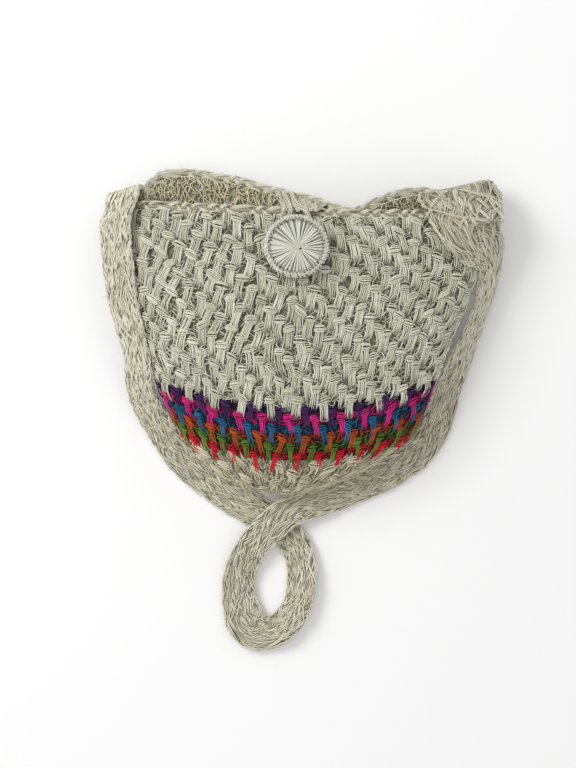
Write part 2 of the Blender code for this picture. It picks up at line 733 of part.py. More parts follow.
def make_strap():
    samples = smooth_path(strap_stations(), STRAP_ROW)
    bm = bmesh.new()
    rings = []
    last = len(samples) - 1
    # across and up shares of the section of a flat band with rolled edges
    outline_shares = (
        (-1.00, 0.0), (-0.93, 0.8), (-0.45, 0.72), (0.0, 1.0), (0.45, 0.72), (0.93, 0.8),
        (1.00, 0.0), (0.93, -0.8), (0.0, -0.8), (-0.93, -0.8),
    )
    for i, row in enumerate(samples):
        centre = Vector(row[:3])
        along = Vector(samples[min(i + 1, last)][:3]) - Vector(samples[max(i - 1, 0)][:3])
        along.normalize()
        across = Vector(row[4:7])
        across = (across - along * across.dot(along)).normalized()
        normal = across.cross(along)
        swell = 1.0 if i % 2 == 0 else 0.8
        half = STRAP_WIDTH * row[3] / 2 * (1.0 if i % 2 == 0 else 0.96)
        thick = STRAP_THICKNESS / 2 * swell
        points = [centre + across * half * a + normal * thick * b for a, b in outline_shares]
        for point in points:
            point.z = max(point.z, 0.0)
        rings.append(ring_of(bm, points))
    for ring, following in zip(rings, rings[1:]):
        band_between(bm, ring, following)
    bm.faces.new(rings[0])
    bm.faces.new(list(reversed(rings[-1])))
    add_part("strap", bm, CREAM)
    return samples


def make_seam(name, row):
    """Yarn that sews one end of the strap down on the edging."""
    centre, across = Vector(row[:3]), Vector(row[4:7]).normalized()
    half = STRAP_WIDTH * row[3] / 2 * 0.9
    drop = Vector((0, -(SEAM_RADIUS + SEAT_GAP), 0))
    bm = bmesh.new()
    count = 12
    centres, sizes = [], []
    for k in range(count + 1):
        centres.append(centre + drop + across * half * (2 * k / count - 1))
        swell = SEAM_RADIUS * (1.0 if k % 2 == 0 else 0.75)
        sizes.append((swell, swell))
    other = across.cross(Vector((0, 1, 0))).normalized()
    tube(bm, centres, [(Vector((0, 1, 0)), other)] * (count + 1), sizes, 5, False)
    return add_part(name, bm, PALE_CREAM)


clear_scene()
make_upper_wall()
for index, (name, colour) in enumerate(BAND):
    make_band_round(index, name, colour)
make_base()
make_edging()
make_button()
make_button_loop()
strap_rows = make_strap()
make_seam("strap_seam_left", strap_rows[0])
make_seam("strap_seam_right", strap_rows[-1])
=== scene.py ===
import math

import bpy
import numpy as np
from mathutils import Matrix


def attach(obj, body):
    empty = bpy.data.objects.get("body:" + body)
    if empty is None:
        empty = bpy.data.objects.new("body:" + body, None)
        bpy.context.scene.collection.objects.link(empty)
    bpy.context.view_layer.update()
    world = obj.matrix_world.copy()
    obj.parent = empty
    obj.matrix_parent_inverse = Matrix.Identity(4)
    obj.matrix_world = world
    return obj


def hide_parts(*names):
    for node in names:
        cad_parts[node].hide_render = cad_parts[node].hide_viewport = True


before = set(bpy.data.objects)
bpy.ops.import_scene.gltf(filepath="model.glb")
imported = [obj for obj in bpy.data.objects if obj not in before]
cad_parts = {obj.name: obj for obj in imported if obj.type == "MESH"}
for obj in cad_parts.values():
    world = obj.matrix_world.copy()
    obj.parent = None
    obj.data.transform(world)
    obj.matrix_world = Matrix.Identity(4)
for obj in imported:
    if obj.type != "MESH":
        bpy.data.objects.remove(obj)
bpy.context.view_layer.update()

# A crocheted shoulder bag, made thread by thread over its fixed frame
mm = 0.001
rng = np.random.default_rng(7)

# The form of the bag, as its frame has it
bag = {
    "motifs": 24,
    "wallRounds": 19,
    "wallRoundHeight": 8.4 * mm,
    "bandRounds": 6,
    "bandRoundHeight": 7.7 * mm,
    "baseDepth": 27.7 * mm,
    "baseRoundHeight": 7.4 * mm,
    "mouthY": 103 * mm,
    "halfWidth": 146 * mm,
    "thickness": 70 * mm,
    "bow": 23.5 * mm,
    "wall": 4.5 * mm,
    "backPlane": 0.8 * mm,
    "backEdgeReach": 110 * mm,
    "backLiftReach": 65 * mm,
    "mouthSlope": 0.036,
    "frontPower": 2.45,
    "backPower": 3.2,
    "frontCrowd": 0.08,
}
# share of the length, of the half width, of the thickness and of the bow, middle, lift
profile = np.array((
    (0.00, 0.980, 0.84, 0.17, 7.0, 0),
    (0.18, 1.007, 0.94, 0.30, 13.0, 0),
    (0.33, 0.966, 1.00, 0.43, 11.0, 0),
    (0.50, 0.890, 1.00, 0.72, 8.5, 0),
    (0.60, 0.842, 0.97, 0.87, 8.0, 0),
    (0.71, 0.795, 0.90, 1.00, 7.0, 0),
    (0.80, 0.720, 0.81, 0.85, 8.0, 0),
    (0.87, 0.640, 0.72, 0.70, 7.5, 0),
    (0.90, 0.590, 0.66, 0.64, 6.0, 1),
    (0.97, 0.425, 0.47, 0.50, 0.5, 5),
    (1.00, 0.280, 0.28, 0.34, -3.0, 10),
))
# back edge of the mouth: share of the half width, rise in mm, share of the thickness
backEdge = np.array((
    (-0.979, 2, 0.029), (-0.890, 11, 0.086), (-0.719, 34, 0.114), (-0.356, 31.5, 0.214),
    (-0.055, 20, 0.357), (0.171, 10.5, 0.543), (0.356, 1, 0.643), (0.596, 14, 0.429),
    (0.801, 18, 0.286), (0.959, 8, 0.114), (1.062, 2, 0.029),
))

wallLength = bag["wallRounds"] * bag["wallRoundHeight"]
bandLength = bag["bandRounds"] * bag["bandRoundHeight"]
length = wallLength + bandLength + bag["baseDepth"]
columns = 3 * bag["motifs"]


def ease(share):
    share = np.clip(share, 0.0, 1.0)
    return share * share * (3 - 2 * share)


def through(stations, at, column):
    xs, ys = stations[:, 0], stations[:, column]
    last = len(xs) - 1
    high, low = np.minimum(np.arange(last + 1) + 1, last), np.maximum(np.arange(last + 1) - 1, 0)
    slopes = (ys[high] - ys[low]) / (xs[high] - xs[low])
    at = np.clip(at, xs[0], xs[-1])
    i = np.clip(np.searchsorted(xs, at, side="right") - 1, 0, last - 1)
    span = xs[i + 1] - xs[i]
    t = (at - xs[i]) / span
    return ((2 * t**3 - 3 * t**2 + 1) * ys[i] + (t**3 - 2 * t**2 + t) * span * slopes[i]
            + (3 * t**2 - 2 * t**3) * ys[i + 1] + (t**3 - t**2) * span * slopes[i + 1])


def bagAt(depth, angle):
    share = depth / length
    halfWidth = bag["halfWidth"] * through(profile, share, 1)
    halfThick = bag["thickness"] * through(profile, share, 2) / 2
    bow = bag["bow"] * through(profile, share, 3)
    across, up = np.sin(angle), np.cos(angle)
    power = np.where(up > 0, bag["frontPower"], bag["backPower"])
    wide = np.sign(across) * np.abs(across) ** (2 / power)
    high = np.sign(up) * np.abs(up) ** (2 / power)
    x = through(profile, share, 4) * mm + halfWidth * wide
    y = bag["mouthY"] - depth + bow * wide * wide
    z = halfThick * (1 + high) - bag["backPlane"] + through(profile, share, 5) * mm
    nearMouth = 1 - ease(depth / bag["backEdgeReach"])
    y = y - bag["mouthSlope"] * halfWidth * wide * nearMouth * np.sqrt(np.maximum(up, 0))
    onBack = ease(-up / 0.6)
    place = x / bag["halfWidth"]
    y = y + through(backEdge, place, 1) * mm * onBack * nearMouth
    lift = through(backEdge, place, 2) * bag["thickness"]
    z = z + lift * onBack * (1 - ease(depth / bag["backLiftReach"]))
    return np.stack([x, y, z], axis=-1)


def unit(vectors):
    return vectors / np.maximum(np.linalg.norm(vectors, axis=-1, keepdims=True), 1e-12)


# A grid over the fabric's outer face: rows go down from the mouth, columns once round
gridRows = 192
gridStep = length / gridRows
turnSteps = 480
capRows = 13


def makeGrid():
    depths = np.arange(gridRows + 1) * gridStep
    angles = np.linspace(0, math.tau, 361)
    ring = bagAt(depths[:, None] + 0 * angles, angles + 0 * depths[:, None])
    pieces = np.linalg.norm(np.diff(ring, axis=1), axis=-1)
    walked = np.concatenate([np.zeros((gridRows + 1, 1)), np.cumsum(pieces, axis=1)], axis=1)
    turns = np.arange(turnSteps + 1) / turnSteps
    rows = []
    for i, depth in enumerate(depths):
        crowd = bag["frontCrowd"] * max(1 - depth / (0.7 * length), 0)
        want = (turns - crowd * np.sin(math.tau * turns) / math.tau) * walked[i, -1]
        rows.append(bagAt(depth + 0 * turns, np.interp(want, walked[i], angles)))
    tip = rows[-1]
    middle = tip[:-1].mean(axis=0)
    for k in range(1, capRows + 1):
        share = 1 - k / capRows
        bulge = np.array([0, -1.5 * mm * (1 - share * share), 0])
        rows.append(middle + (tip - middle) * share + bulge)
    points = np.array(rows)
    down = np.gradient(points, axis=0)
    wrapped = np.concatenate([points[:, -2:-1], points, points[:, 1:2]], axis=1)
    around = wrapped[:, 2:] - wrapped[:, :-2]
    facings = unit(np.cross(down, around))
    facings[-1] = (0, -1, 0)
    girth = np.linalg.norm(np.diff(points, axis=1), axis=-1).sum(axis=1)
    return points, facings, girth


gridPoints, gridFacings, gridGirth = makeGrid()


def onGrid(grid, depth, turn):
    row = np.clip(depth / gridStep, 0, len(grid) - 1.001)
    col = (turn % 1.0) * turnSteps
    r, c = row.astype(int), col.astype(int)
    a, b = (row - r)[..., None], (col - c)[..., None]
    return ((grid[r, c] * (1 - b) + grid[r, c + 1] * b) * (1 - a)
            + (grid[r + 1, c] * (1 - b) + grid[r + 1, c + 1] * b) * a)


# the place at a height over the fabric, and the way it faces there
def skin(depth, turn, out):
    facing = unit(onGrid(gridFacings, depth, turn))
    return onGrid(gridPoints, depth, turn) + facing * np.asarray(out)[..., None], facing


def girthAt(depth):
    return np.interp(depth / gridStep, np.arange(len(gridGirth)), gridGirth)


print("form ready")


# faces that join rings of points, each to the next
def ringFaces(index):
    following = np.roll(index, -1, axis=-1)
    corners = [index[..., :-1, :], following[..., :-1, :], following[..., 1:, :], index[..., 1:, :]]
    return np.stack(corners, axis=-1).reshape(-1, 4)


# faces is a list of arrays, faces by corners
def meshFrom(name, verts, faces, tones=0.5, sunk=0.0, alongs=0.0):
    mesh = bpy.data.meshes.new(name)
    loops = np.concatenate([f.reshape(-1) for f in faces]).astype(np.int32)
    counts = np.concatenate([np.full(len(f), f.shape[1], dtype=np.int32) for f in faces])
    starts = np.concatenate([[0], np.cumsum(counts)[:-1]]).astype(np.int32)
    mesh.vertices.add(len(verts))
    mesh.vertices.foreach_set("co", verts.astype(np.float32).reshape(-1))
    mesh.loops.add(len(loops))
    mesh.loops.foreach_set("vertex_index", loops)
    mesh.polygons.add(len(counts))
    mesh.polygons.foreach_set("loop_start", starts)
    mesh.update(calc_edges=True)
    mesh.shade_smooth()
    for label, values in (("tone", tones), ("sunk", sunk), ("along", alongs)):
        attribute = mesh.attributes.new(label, "FLOAT", "POINT")
        spread = np.broadcast_to(values, (len(verts),)).astype(np.float32)
        attribute.data.foreach_set("value", spread)
    obj = bpy.data.objects.new(name, mesh)
    bpy.context.scene.collection.objects.link(obj)
    return obj


def place(obj, yarn, node):
    obj.data.materials.append(materials[yarn])
    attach(obj, "root")
    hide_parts(node)


# Many tubes that become one mesh
class Threads:
    def __init__(self):
        self.verts, self.quads, self.caps, self.tones, self.sunk, self.alongs = [], [], [], [], [], []
        self.total = 0

    # centres is tubes by points by 3, or one tube, and the rest spreads to that shape
    def add(self, centres, facings, radius, sides=5, sunk=0.0, tone=None):
        shape = centres.shape[:-1]
        m = shape[-1]
        facings = np.broadcast_to(facings, centres.shape).reshape(-1, m, 3)
        radius = np.broadcast_to(radius, shape).reshape(-1, m)
        sunk = np.broadcast_to(sunk, shape).reshape(-1)
        centres = centres.reshape(-1, m, 3).copy()
        centres[..., 2] = np.maximum(centres[..., 2], radius + 0.1 * mm)    # above the floor
        n = len(centres)
        along = unit(np.gradient(centres, axis=1))
        side = unit(np.cross(facings, along))
        up = np.cross(along, side)
        turn = math.tau * np.arange(sides) / sides
        ring = side[:, :, None] * np.cos(turn)[:, None] + up[:, :, None] * np.sin(turn)[:, None]
        index = self.total + np.arange(n * m * sides).reshape(n, m, sides)
        walked = np.zeros((n, m))
        walked[:, 1:] = np.cumsum(np.linalg.norm(np.diff(centres, axis=1), axis=-1), axis=1)
        tone = rng.random(n) if tone is None else tone.reshape(-1)
        self.verts.append((centres[:, :, None] + ring * radius[:, :, None, None]).reshape(-1, 3))
        self.quads.append(ringFaces(index))
        self.caps += [index[:, 0, ::-1], index[:, -1]]
        self.tones.append(np.repeat(tone, m * sides))
        self.sunk.append(np.repeat(sunk, sides))
        self.alongs.append(np.repeat(walked.reshape(-1), sides))
        self.total += n * m * sides

    def place(self, name, yarn, node):
        verts, quads, *rest = (np.concatenate(values) for values in (
            self.verts, self.quads, self.tones, self.sunk, self.alongs))
        place(meshFrom(name, verts, [quads] + self.caps, *rest), yarn, node)


# Shader groups shared by the yarns

def newGroup(name, inputs, outputs):
    group = bpy.data.node_groups.new(name, "ShaderNodeTree")
    for label, kind, value in inputs:
        socket = group.interface.new_socket(label, in_out="INPUT", socket_type=kind)
        socket.default_value = value
    for label, kind in outputs:
        group.interface.new_socket(label, in_out="OUTPUT", socket_type=kind)
    return group, group.nodes.new("NodeGroupInput"), group.nodes.new("NodeGroupOutput")


def feed(tree, socket, value):
    if isinstance(value, bpy.types.NodeSocket):
        tree.links.new(value, socket)
    else:
        socket.default_value = value


def mathNode(tree, operation, a, b=0.0):
    node = tree.nodes.new("ShaderNodeMath")
    node.operation = operation
    feed(tree, node.inputs[0], a)
    feed(tree, node.inputs[1], b)
    return node.outputs[0]


def mixNode(tree, share, a, b, blend="MIX"):
    node = tree.nodes.new("ShaderNodeMix")
    node.data_type = "RGBA"
    node.blend_type = blend
    for slot, value in ((0, share), (6, a), (7, b)):
        feed(tree, node.inputs[slot], value)
    return node.outputs[2]


# Colour and height of spun yarn: fibres, a ply's twist, and painted shade in the hollows
def makeYarnGroup():
    group, inside, out = newGroup("spunYarn", (
        ("Yarn", "NodeSocketColor", (0.5, 0.5, 0.5, 1)),
        ("Pale", "NodeSocketColor", (0.7, 0.7, 0.7, 1)),
        ("HollowShade", "NodeSocketColor", (0.1, 0.1, 0.1, 1)),
        ("Variation", "NodeSocketFloat", 0.5),
        ("Twist", "NodeSocketFloat", 0.5),
    ), (("Color", "NodeSocketColor"), ("Roughness", "NodeSocketFloat"), ("Height", "NodeSocketFloat")))
    links, nodes = group.links, group.nodes

    def attribute(label):
        node = nodes.new("ShaderNodeAttribute")
        node.attribute_name = label
        return node.outputs["Fac"]

    coords = nodes.new("ShaderNodeTexCoord")

    def noise(scale, detail):
        node = nodes.new("ShaderNodeTexNoise")
        node.inputs["Scale"].default_value = scale
        node.inputs["Detail"].default_value = detail
        links.new(coords.outputs["Object"], node.inputs["Vector"])
        return node.outputs["Fac"]

    fibres, patches = noise(2600, 2), noise(38, 3)
    # the ply's twist: bands that climb along the thread
    climb = mathNode(group, "MULTIPLY", attribute("along"), 5200)
    twist = mathNode(group, "ADD", climb, mathNode(group, "MULTIPLY", fibres, 3.0))
    twist = mathNode(group, "MULTIPLY", mathNode(group, "SINE", twist), inside.outputs["Twist"])
    # colour: thread to thread, patch to patch, and painted shade where it dips into the fabric
    spread = mathNode(group, "ADD", mathNode(group, "MULTIPLY", attribute("tone"), 0.75),
                      mathNode(group, "MULTIPLY", patches, 0.5))
    spread = mathNode(group, "SUBTRACT", spread, 0.12)
    paleShare = mathNode(group, "MULTIPLY", spread, inside.outputs["Variation"])
    lit = mixNode(group, paleShare, inside.outputs["Yarn"], inside.outputs["Pale"])
    lit = mixNode(group, mathNode(group, "MULTIPLY", fibres, 0.35), lit, (0.5, 0.5, 0.5, 1), "SOFT_LIGHT")
    # painted shade: each thread is mixed towards its shade colour by the per-point shade share
    colour = mixNode(group, attribute("sunk"), lit, inside.outputs["HollowShade"])
    rough = mathNode(group, "ADD", mathNode(group, "MULTIPLY", fibres, 0.25), 0.68)
    height = mathNode(group, "ADD", mathNode(group, "MULTIPLY", twist, 0.5), fibres)
    for label, value in (("Color", colour), ("Roughness", rough), ("Height", height)):
        links.new(value, out.inputs[label])
    return group


yarnGroup = makeYarnGroup()


# a colour as an image shows it, 0 to 255, made linear
def srgb(parts):
    shares = [part / 255 for part in parts]
    return tuple((s / 12.92 if s <= 0.04045 else ((s + 0.055) / 1.055) ** 2.4) for s in shares) + (1.0,)


# slot, then the colour of the yarn, of its palest threads and the painted shade colour of its hollows
yarns = {
    "cream": ("cream_yarn", (198, 198, 170), (244, 244, 230), (84, 80, 56)),
    "strapCream": ("cream_yarn", (214, 208, 180), (250, 247, 232), (112, 102, 72)),
    "edgeCream": ("pale_cream_yarn", (200, 197, 172), (244, 242, 228), (100, 92, 66)),
    "innerCream": ("cream_yarn", (236, 228, 184), (252, 248, 222), (114, 93, 48)),
    "buttonCream": ("pale_cream_yarn", (212, 214, 198), (238, 239, 228), (88, 84, 64)),
    "baseCream": ("cream_yarn", (200, 193, 160), (242, 236, 210), (88, 76, 48)),
    "holeShade": ("pale_cream_yarn", (70, 64, 48), (96, 90, 70), (58, 52, 38)),
    "purple": ("purple_yarn", (44, 16, 62), (98, 50, 124), (14, 6, 20)),
    "magenta": ("magenta_yarn", (206, 4, 112), (255, 46, 160), (60, 4, 36)),
    "blue": ("blue_yarn", (6, 78, 122), (50, 134, 184), (6, 20, 36)),
    "orange": ("orange_yarn", (168, 62, 6), (226, 104, 36), (50, 18, 4)),
    "green": ("green_yarn", (62, 104, 22), (130, 176, 66), (20, 34, 6)),
    "red": ("red_yarn", (198, 6, 32), (244, 36, 58), (64, 4, 10)),
}
finish = {"variation": 0.95, "twist": 0.5, "bump": 0.35, "sheen": 0.12, "holeBump": 0.1}


def yarnMaterial(name, colours):
    material = bpy.data.materials.new(name)
    material.use_nodes = True
    tree = material.node_tree
    shader = tree.nodes["Principled BSDF"]
    look = tree.nodes.new("ShaderNodeGroup")
    look.node_tree = yarnGroup
    for label, colour in zip(("Yarn", "Pale", "HollowShade"), colours):
        look.inputs[label].default_value = srgb(colour)
    look.inputs["Variation"].default_value = finish["variation"]
    look.inputs["Twist"].default_value = finish["twist"]
    isHole = name == "holeShade"
    relief = tree.nodes.new("ShaderNodeBump")
    relief.inputs["Strength"].default_value = finish["holeBump"] if isHole else finish["bump"]
    relief.inputs["Distance"].default_value = 0.25 * mm
    tree.links.new(look.outputs["Height"], relief.inputs["Height"])
    tree.links.new(look.outputs["Color"], shader.inputs["Base Color"])
    tree.links.new(look.outputs["Roughness"], shader.inputs["Roughness"])
    tree.links.new(relief.outputs["Normal"], shader.inputs["Normal"])
    shader.inputs["Sheen Weight"].default_value = 0.0 if isHole else finish["sheen"]
    shader.inputs["Sheen Roughness"].default_value = 0.5
    shader.inputs["Specular IOR Level"].default_value = 0.25
    return material


materials = {name: yarnMaterial(name, colours) for name, (_, *colours) in yarns.items()}
print("yarns ready")


# The stitch: a knotted head of arcs with a long tail of threads hanging from it
stitch = {
    "headHalfWidth": 6.9,        # mm, for a column of the size below
    "headHalfHeight": 4.2,
    "headRise": 3.0,
    "headArcs": 6,
    "tailHalfWidth": 3.7,
    "tailLength": 19.4,
    "tailRise": 2.4,
    "threadRadius": 0.54,
    "columnWidth": 9.0,
    "lean": 0.13,                # how far tails stray to the side for each mm down
    "fillers": 6,                # crossing threads behind each tail
}


# arcs across the knot, together the form of a lens: arcs by points by 3, in mm
def headTemplate(arcs, points=7):
    s = np.linspace(-1, 1, points)
    rows = []
    for j in range(arcs):
        level = (2 * j / (arcs - 1) - 1) * 0.82
        x = s * stitch["headHalfWidth"] * (0.78 + 0.22 * (1 - level * level))
        y = level * stitch["headHalfHeight"] * (1 - 0.62 * s * s) + 0.25 * s
        rise = stitch["headRise"] * math.sqrt(1 - 0.75 * level * level)
        h = rise * np.sqrt(np.maximum(1 - s**4, 0)) - 1.3 * s**6 - 0.3
        rows.append(np.stack([x, y, h], axis=-1))
    return np.array(rows)


# hanging loops, each down one side, round the end and up again
def tailTemplate(loops=((1.0, 1.0), (0.62, 0.97), (0.22, 0.93)), legPoints=5):
    rows = []
    for width, reach in loops:
        t = np.linspace(0, 1, legPoints)
        spread = 0.92 + 0.16 * t - 0.10 * np.sin(math.pi * t)
        legX = stitch["tailHalfWidth"] * width * spread
        endY = stitch["tailLength"] * reach
        topY = 1.2
        legY = topY + (endY - topY - 1.2) * t
        arch = np.sin(math.pi * np.clip(t * 1.15, 0, 1)) ** 0.7
        legH = 1.1 + (stitch["tailRise"] - 1.1) * arch - 1.2 * t**3
        bend = np.array([math.pi * 0.28, math.pi * 0.72])
        bendX = legX[-1] * np.cos(bend)
        bendY = legY[-1] + 1.3 * np.sin(bend)
        bendH = legH[-1] - 0.7 * np.sin(bend)
        x = np.concatenate([-legX, -bendX, legX[::-1]])
        y = np.concatenate([legY, bendY, legY[::-1]])
        h = np.concatenate([legH, bendH, legH[::-1]])
        rows.append(np.stack([x, y, h], axis=-1))
    return np.array(rows)


def roundDepth(number):
    if number < bag["wallRounds"]:
        return (number + 0.55) * bag["wallRoundHeight"]
    number -= bag["wallRounds"]
    if number < bag["bandRounds"]:
        return wallLength + (number + 0.5) * bag["bandRoundHeight"]
    return wallLength + bandLength + (number - bag["bandRounds"] + 0.5) * bag["baseRoundHeight"]


# tails lean to the left in the upper left of the front, where the fabric is drawn askew
def leanAt(depth, turn):
    side = (turn + 0.5) % 1.0 - 0.5
    left = ease((-side - 0.01) / 0.10) * (1 - ease((-side - 0.20) / 0.05))
    upper = 1 - ease((depth - 95 * mm) / (60 * mm))
    right = ease((side - 0.06) / 0.10) * ease((depth - 60 * mm) / (80 * mm))
    low = ease((depth - wallLength + 45 * mm) / (55 * mm))
    low = low * (1 - ease((depth - wallLength - bandLength) / (12 * mm)))
    return -0.34 * left * upper - 0.10 * right * (1 - low) + np.clip(2.0 * side, -0.5, 0.5) * low


# all stitches of one round: those that lie on the floor are of fewer, thicker threads
def addStitches(threads, number, look, step=3):
    cols = np.arange(number % 3 if step == 3 else 3 * (number % 2), columns, step)
    hidden = np.abs(cols / columns - 0.5) < hiddenShare
    addSomeStitches(threads, number, cols[~hidden], look, step)
    addSomeStitches(threads, number, cols[hidden], dict(look, **backLook), step)


def addSomeStitches(threads, number, cols, look, step):
    n = len(cols)
    turn0 = cols / columns + rng.normal(0, 0.0011, n)
    depth0 = roundDepth(number) + rng.normal(0, 0.7 * mm, n)
    girth = girthAt(depth0)[:, None, None]
    wide = np.clip(girth / columns * (step / 3) / mm / stitch["columnWidth"], 0.3, 1.15)
    onWall = number < bag["wallRounds"] - 2
    tall = bag["wallRoundHeight" if onWall else "bandRoundHeight"] / bag["wallRoundHeight"]
    lean = (leanAt(depth0, turn0) + rng.normal(0, stitch["lean"], n))[:, None, None]
    for kind in ("head", "tail"):
        if number < 0 and kind == "head":
            continue
        template = look[kind][None]
        k, m = template.shape[1:3]
        size = rng.normal(1, 0.07, (n, 1, 1))
        x = template[..., 0] * wide * size
        y = template[..., 1] * tall * rng.normal(1, 0.05, (n, 1, 1))
        h = template[..., 2] * rng.normal(1, 0.12, (n, 1, 1)) + rng.normal(0, 0.28, (n, k, 1))
        x = x + rng.normal(0, 0.36, (n, k, 1)) + rng.normal(0, 0.13, (n, k, m))
        y = y + rng.normal(0, 0.42, (n, k, 1))
        # painted shade: threads darken the lower they lie in the fabric, and tails darken just under their
        # heads
        sunk = np.clip((0.9 - h) / 2.2, 0, 0.85)
        if kind == "tail":
            x = x + lean * y + rng.normal(0, 0.9, (n, 1, 1)) * (y / 18) ** 2
            x = x + rng.normal(0.3, 1.1, (n, 1, 1)) * np.sin(math.pi * np.clip(y / 19, 0, 1)) * wide
            sunk = np.maximum(sunk, 0.35 * np.clip(1 - y / 5.0, 0, 1))
        else:
            tilt = rng.normal(0, 0.28, (n, 1, 1)) - lean * 0.5
            x, y = x - y * tilt * 0.3, y + x * tilt
        depth = np.maximum(depth0[:, None, None] + y * mm, 0.5 * mm)
        centres, facings = skin(depth, turn0[:, None, None] + x * mm / girth, h * mm)
        tone = np.clip(rng.random((n, 1)) * 0.5 + rng.random((n, k)) * 0.5, 0, 1)
        radius = stitch["threadRadius"] * mm * look.get("thread", 1.0) * rng.uniform(0.82, 1.24, (n, k, 1))
        threads.add(centres, facings, radius, 4, sunk, tone)


# short threads that cross behind the tails, so that no plain ground shows between them
def addFillers(threads, number, height=0.2, dark=0.05, count=stitch["fillers"], size=1.0, steep=0.8):
    turn0 = (np.arange(columns) + 0.5) / columns
    turn0 = turn0[np.abs(turn0 - 0.5) > hiddenShare][:, None, None]
    each = (len(turn0), count, 1)
    depth0 = roundDepth(number) + 0 * turn0
    t = np.linspace(-1, 1, 4)
    slant = rng.normal(steep, 0.45, each) * np.where(rng.random(each) < 0.5, 1, -1)
    reach = rng.uniform(2.6, 5.2, each) * size
    x = reach * t * np.cos(slant) + rng.uniform(-4.4, 4.4, each) * size + 0.7 * (1 - t * t)
    y = reach * t * np.sin(slant) + rng.uniform(-4.4, 4.4, each)
    level = rng.uniform(0, 1, each)
    h = height + 0.9 * level + 0.6 * (1 - t * t) - 0.7 * t**2
    depth = np.maximum(depth0 + y * mm, 0.6 * mm)
    centres, facings = skin(depth, turn0 + x * mm / girthAt(depth0), h * mm)
    # painted shade: the deeper a filler lies and the nearer its ends, the darker it is
    sunk = np.clip(dark + 0.42 * (1 - level) + 0.25 * t * t, 0, 0.9)
    threads.add(centres, facings, 1.08 * stitch["threadRadius"] * mm, 3, sunk)


shell = {"row": 2.8 * mm, "columns": 144, "outer": -0.6, "inner": -3.7, "wave": 0.35, "innerPaintedShade": 0.62}


# the dense inside of the fabric, painted dark as the shade in the hollows between the threads
def addShell(name, start, end, yarn, node, dark, closed=False):
    rows = max(int(round((end - start) / shell["row"])), 3)
    cols = shell["columns"]
    depth = np.linspace(start, end, rows + 1)[:, None] + np.zeros(cols)
    turn = np.arange(cols) / cols + np.zeros((rows + 1, 1))
    wave = shell["wave"] * (np.sin(depth / mm * 1.9) + np.sin(turn * math.tau * columns))
    outside, _ = skin(depth, turn, (shell["outer"] + shell["wave"] * wave) * mm)
    inside, _ = skin(np.minimum(depth, length - 4 * mm) if closed else depth, turn, shell["inner"] * mm)
    if closed:
        wayIn = np.maximum(1 - ease((depth - (end - 10 * mm)) / (10 * mm)), 0.02)
        middle = inside[-1].mean(axis=0)
        inside = middle + (inside - middle) * wayIn[..., None] + np.array([0, 0.3 * mm, 0])
    outside[..., 2] = np.maximum(outside[..., 2], 0.25 * mm)
    inside[..., 2] = np.maximum(inside[..., 2], 1.2 * mm)
    count = (rows + 1) * cols
    index = np.arange(count).reshape(rows + 1, cols)
    following = np.roll(index, -1, axis=1)
    out = np.stack([index[:-1], index[1:], following[1:], following[:-1]], axis=-1).reshape(-1, 4)
    top = np.stack([index[0], following[0], following[0] + count, index[0] + count], axis=-1)
    bottom = np.stack([index[-1], index[-1] + count, following[-1] + count, following[-1]], axis=-1)
    verts = np.concatenate([outside.reshape(-1, 3), inside.reshape(-1, 3)])
    # painted shade: patchy at random on the outer face, even on the inner face
    patchy = dark + 0.3 * (rng.random(count) - 0.5)
    sunk = np.concatenate([patchy, np.full(count, shell["innerPaintedShade"])])
    place(meshFrom(name, verts, [out, out[:, ::-1] + count, top, bottom], 0.4, sunk), yarn, node)


creamLook = {"head": headTemplate(stitch["headArcs"]), "tail": tailTemplate()}
bandLook = {
    "head": headTemplate(stitch["headArcs"]) * np.array([0.84, 0.92, 1.1]),
    "tail": tailTemplate(((0.70, 0.92), (0.44, 0.88), (0.18, 0.82))),
    "thread": 0.66,
}
baseLook = {
    "head": headTemplate(stitch["headArcs"]) * np.array([0.92, 0.9, 0.85]),
    "tail": tailTemplate(((0.9, 0.6), (0.55, 0.54), (0.2, 0.46))),
}
backLook = {
    "head": headTemplate(3, 5),
    "tail": tailTemplate(((0.9, 1.0), (0.3, 0.95)), 4),
    "thread": 1.7,
}
hiddenShare = 0.17               # of a turn to each side of the middle of the back


def makeUpperWall():
    front, crossings = Threads(), Threads()
    for number in range(-2, bag["wallRounds"]):
        addStitches(front, number, creamLook)
        if number >= 0:
            addFillers(crossings, number)
        if number == 9:
            front.place("upper_wall_upper_stitches", "cream", "upper_wall")
            front = Threads()
    front.place("upper_wall_lower_stitches", "cream", "upper_wall")
    crossings.place("upper_wall_crossings", "cream", "upper_wall")
    addShell("upper_wall_inside", 0.3 * mm, wallLength - 0.2 * mm, "cream", "upper_wall", 0.85)


# The wrong side of the fabric, seen through the mouth: short slanting strands
inner = {"rounds": 6, "strands": 9, "slant": 0.8, "length": 9.5, "rise": 1.4, "radius": 0.62}


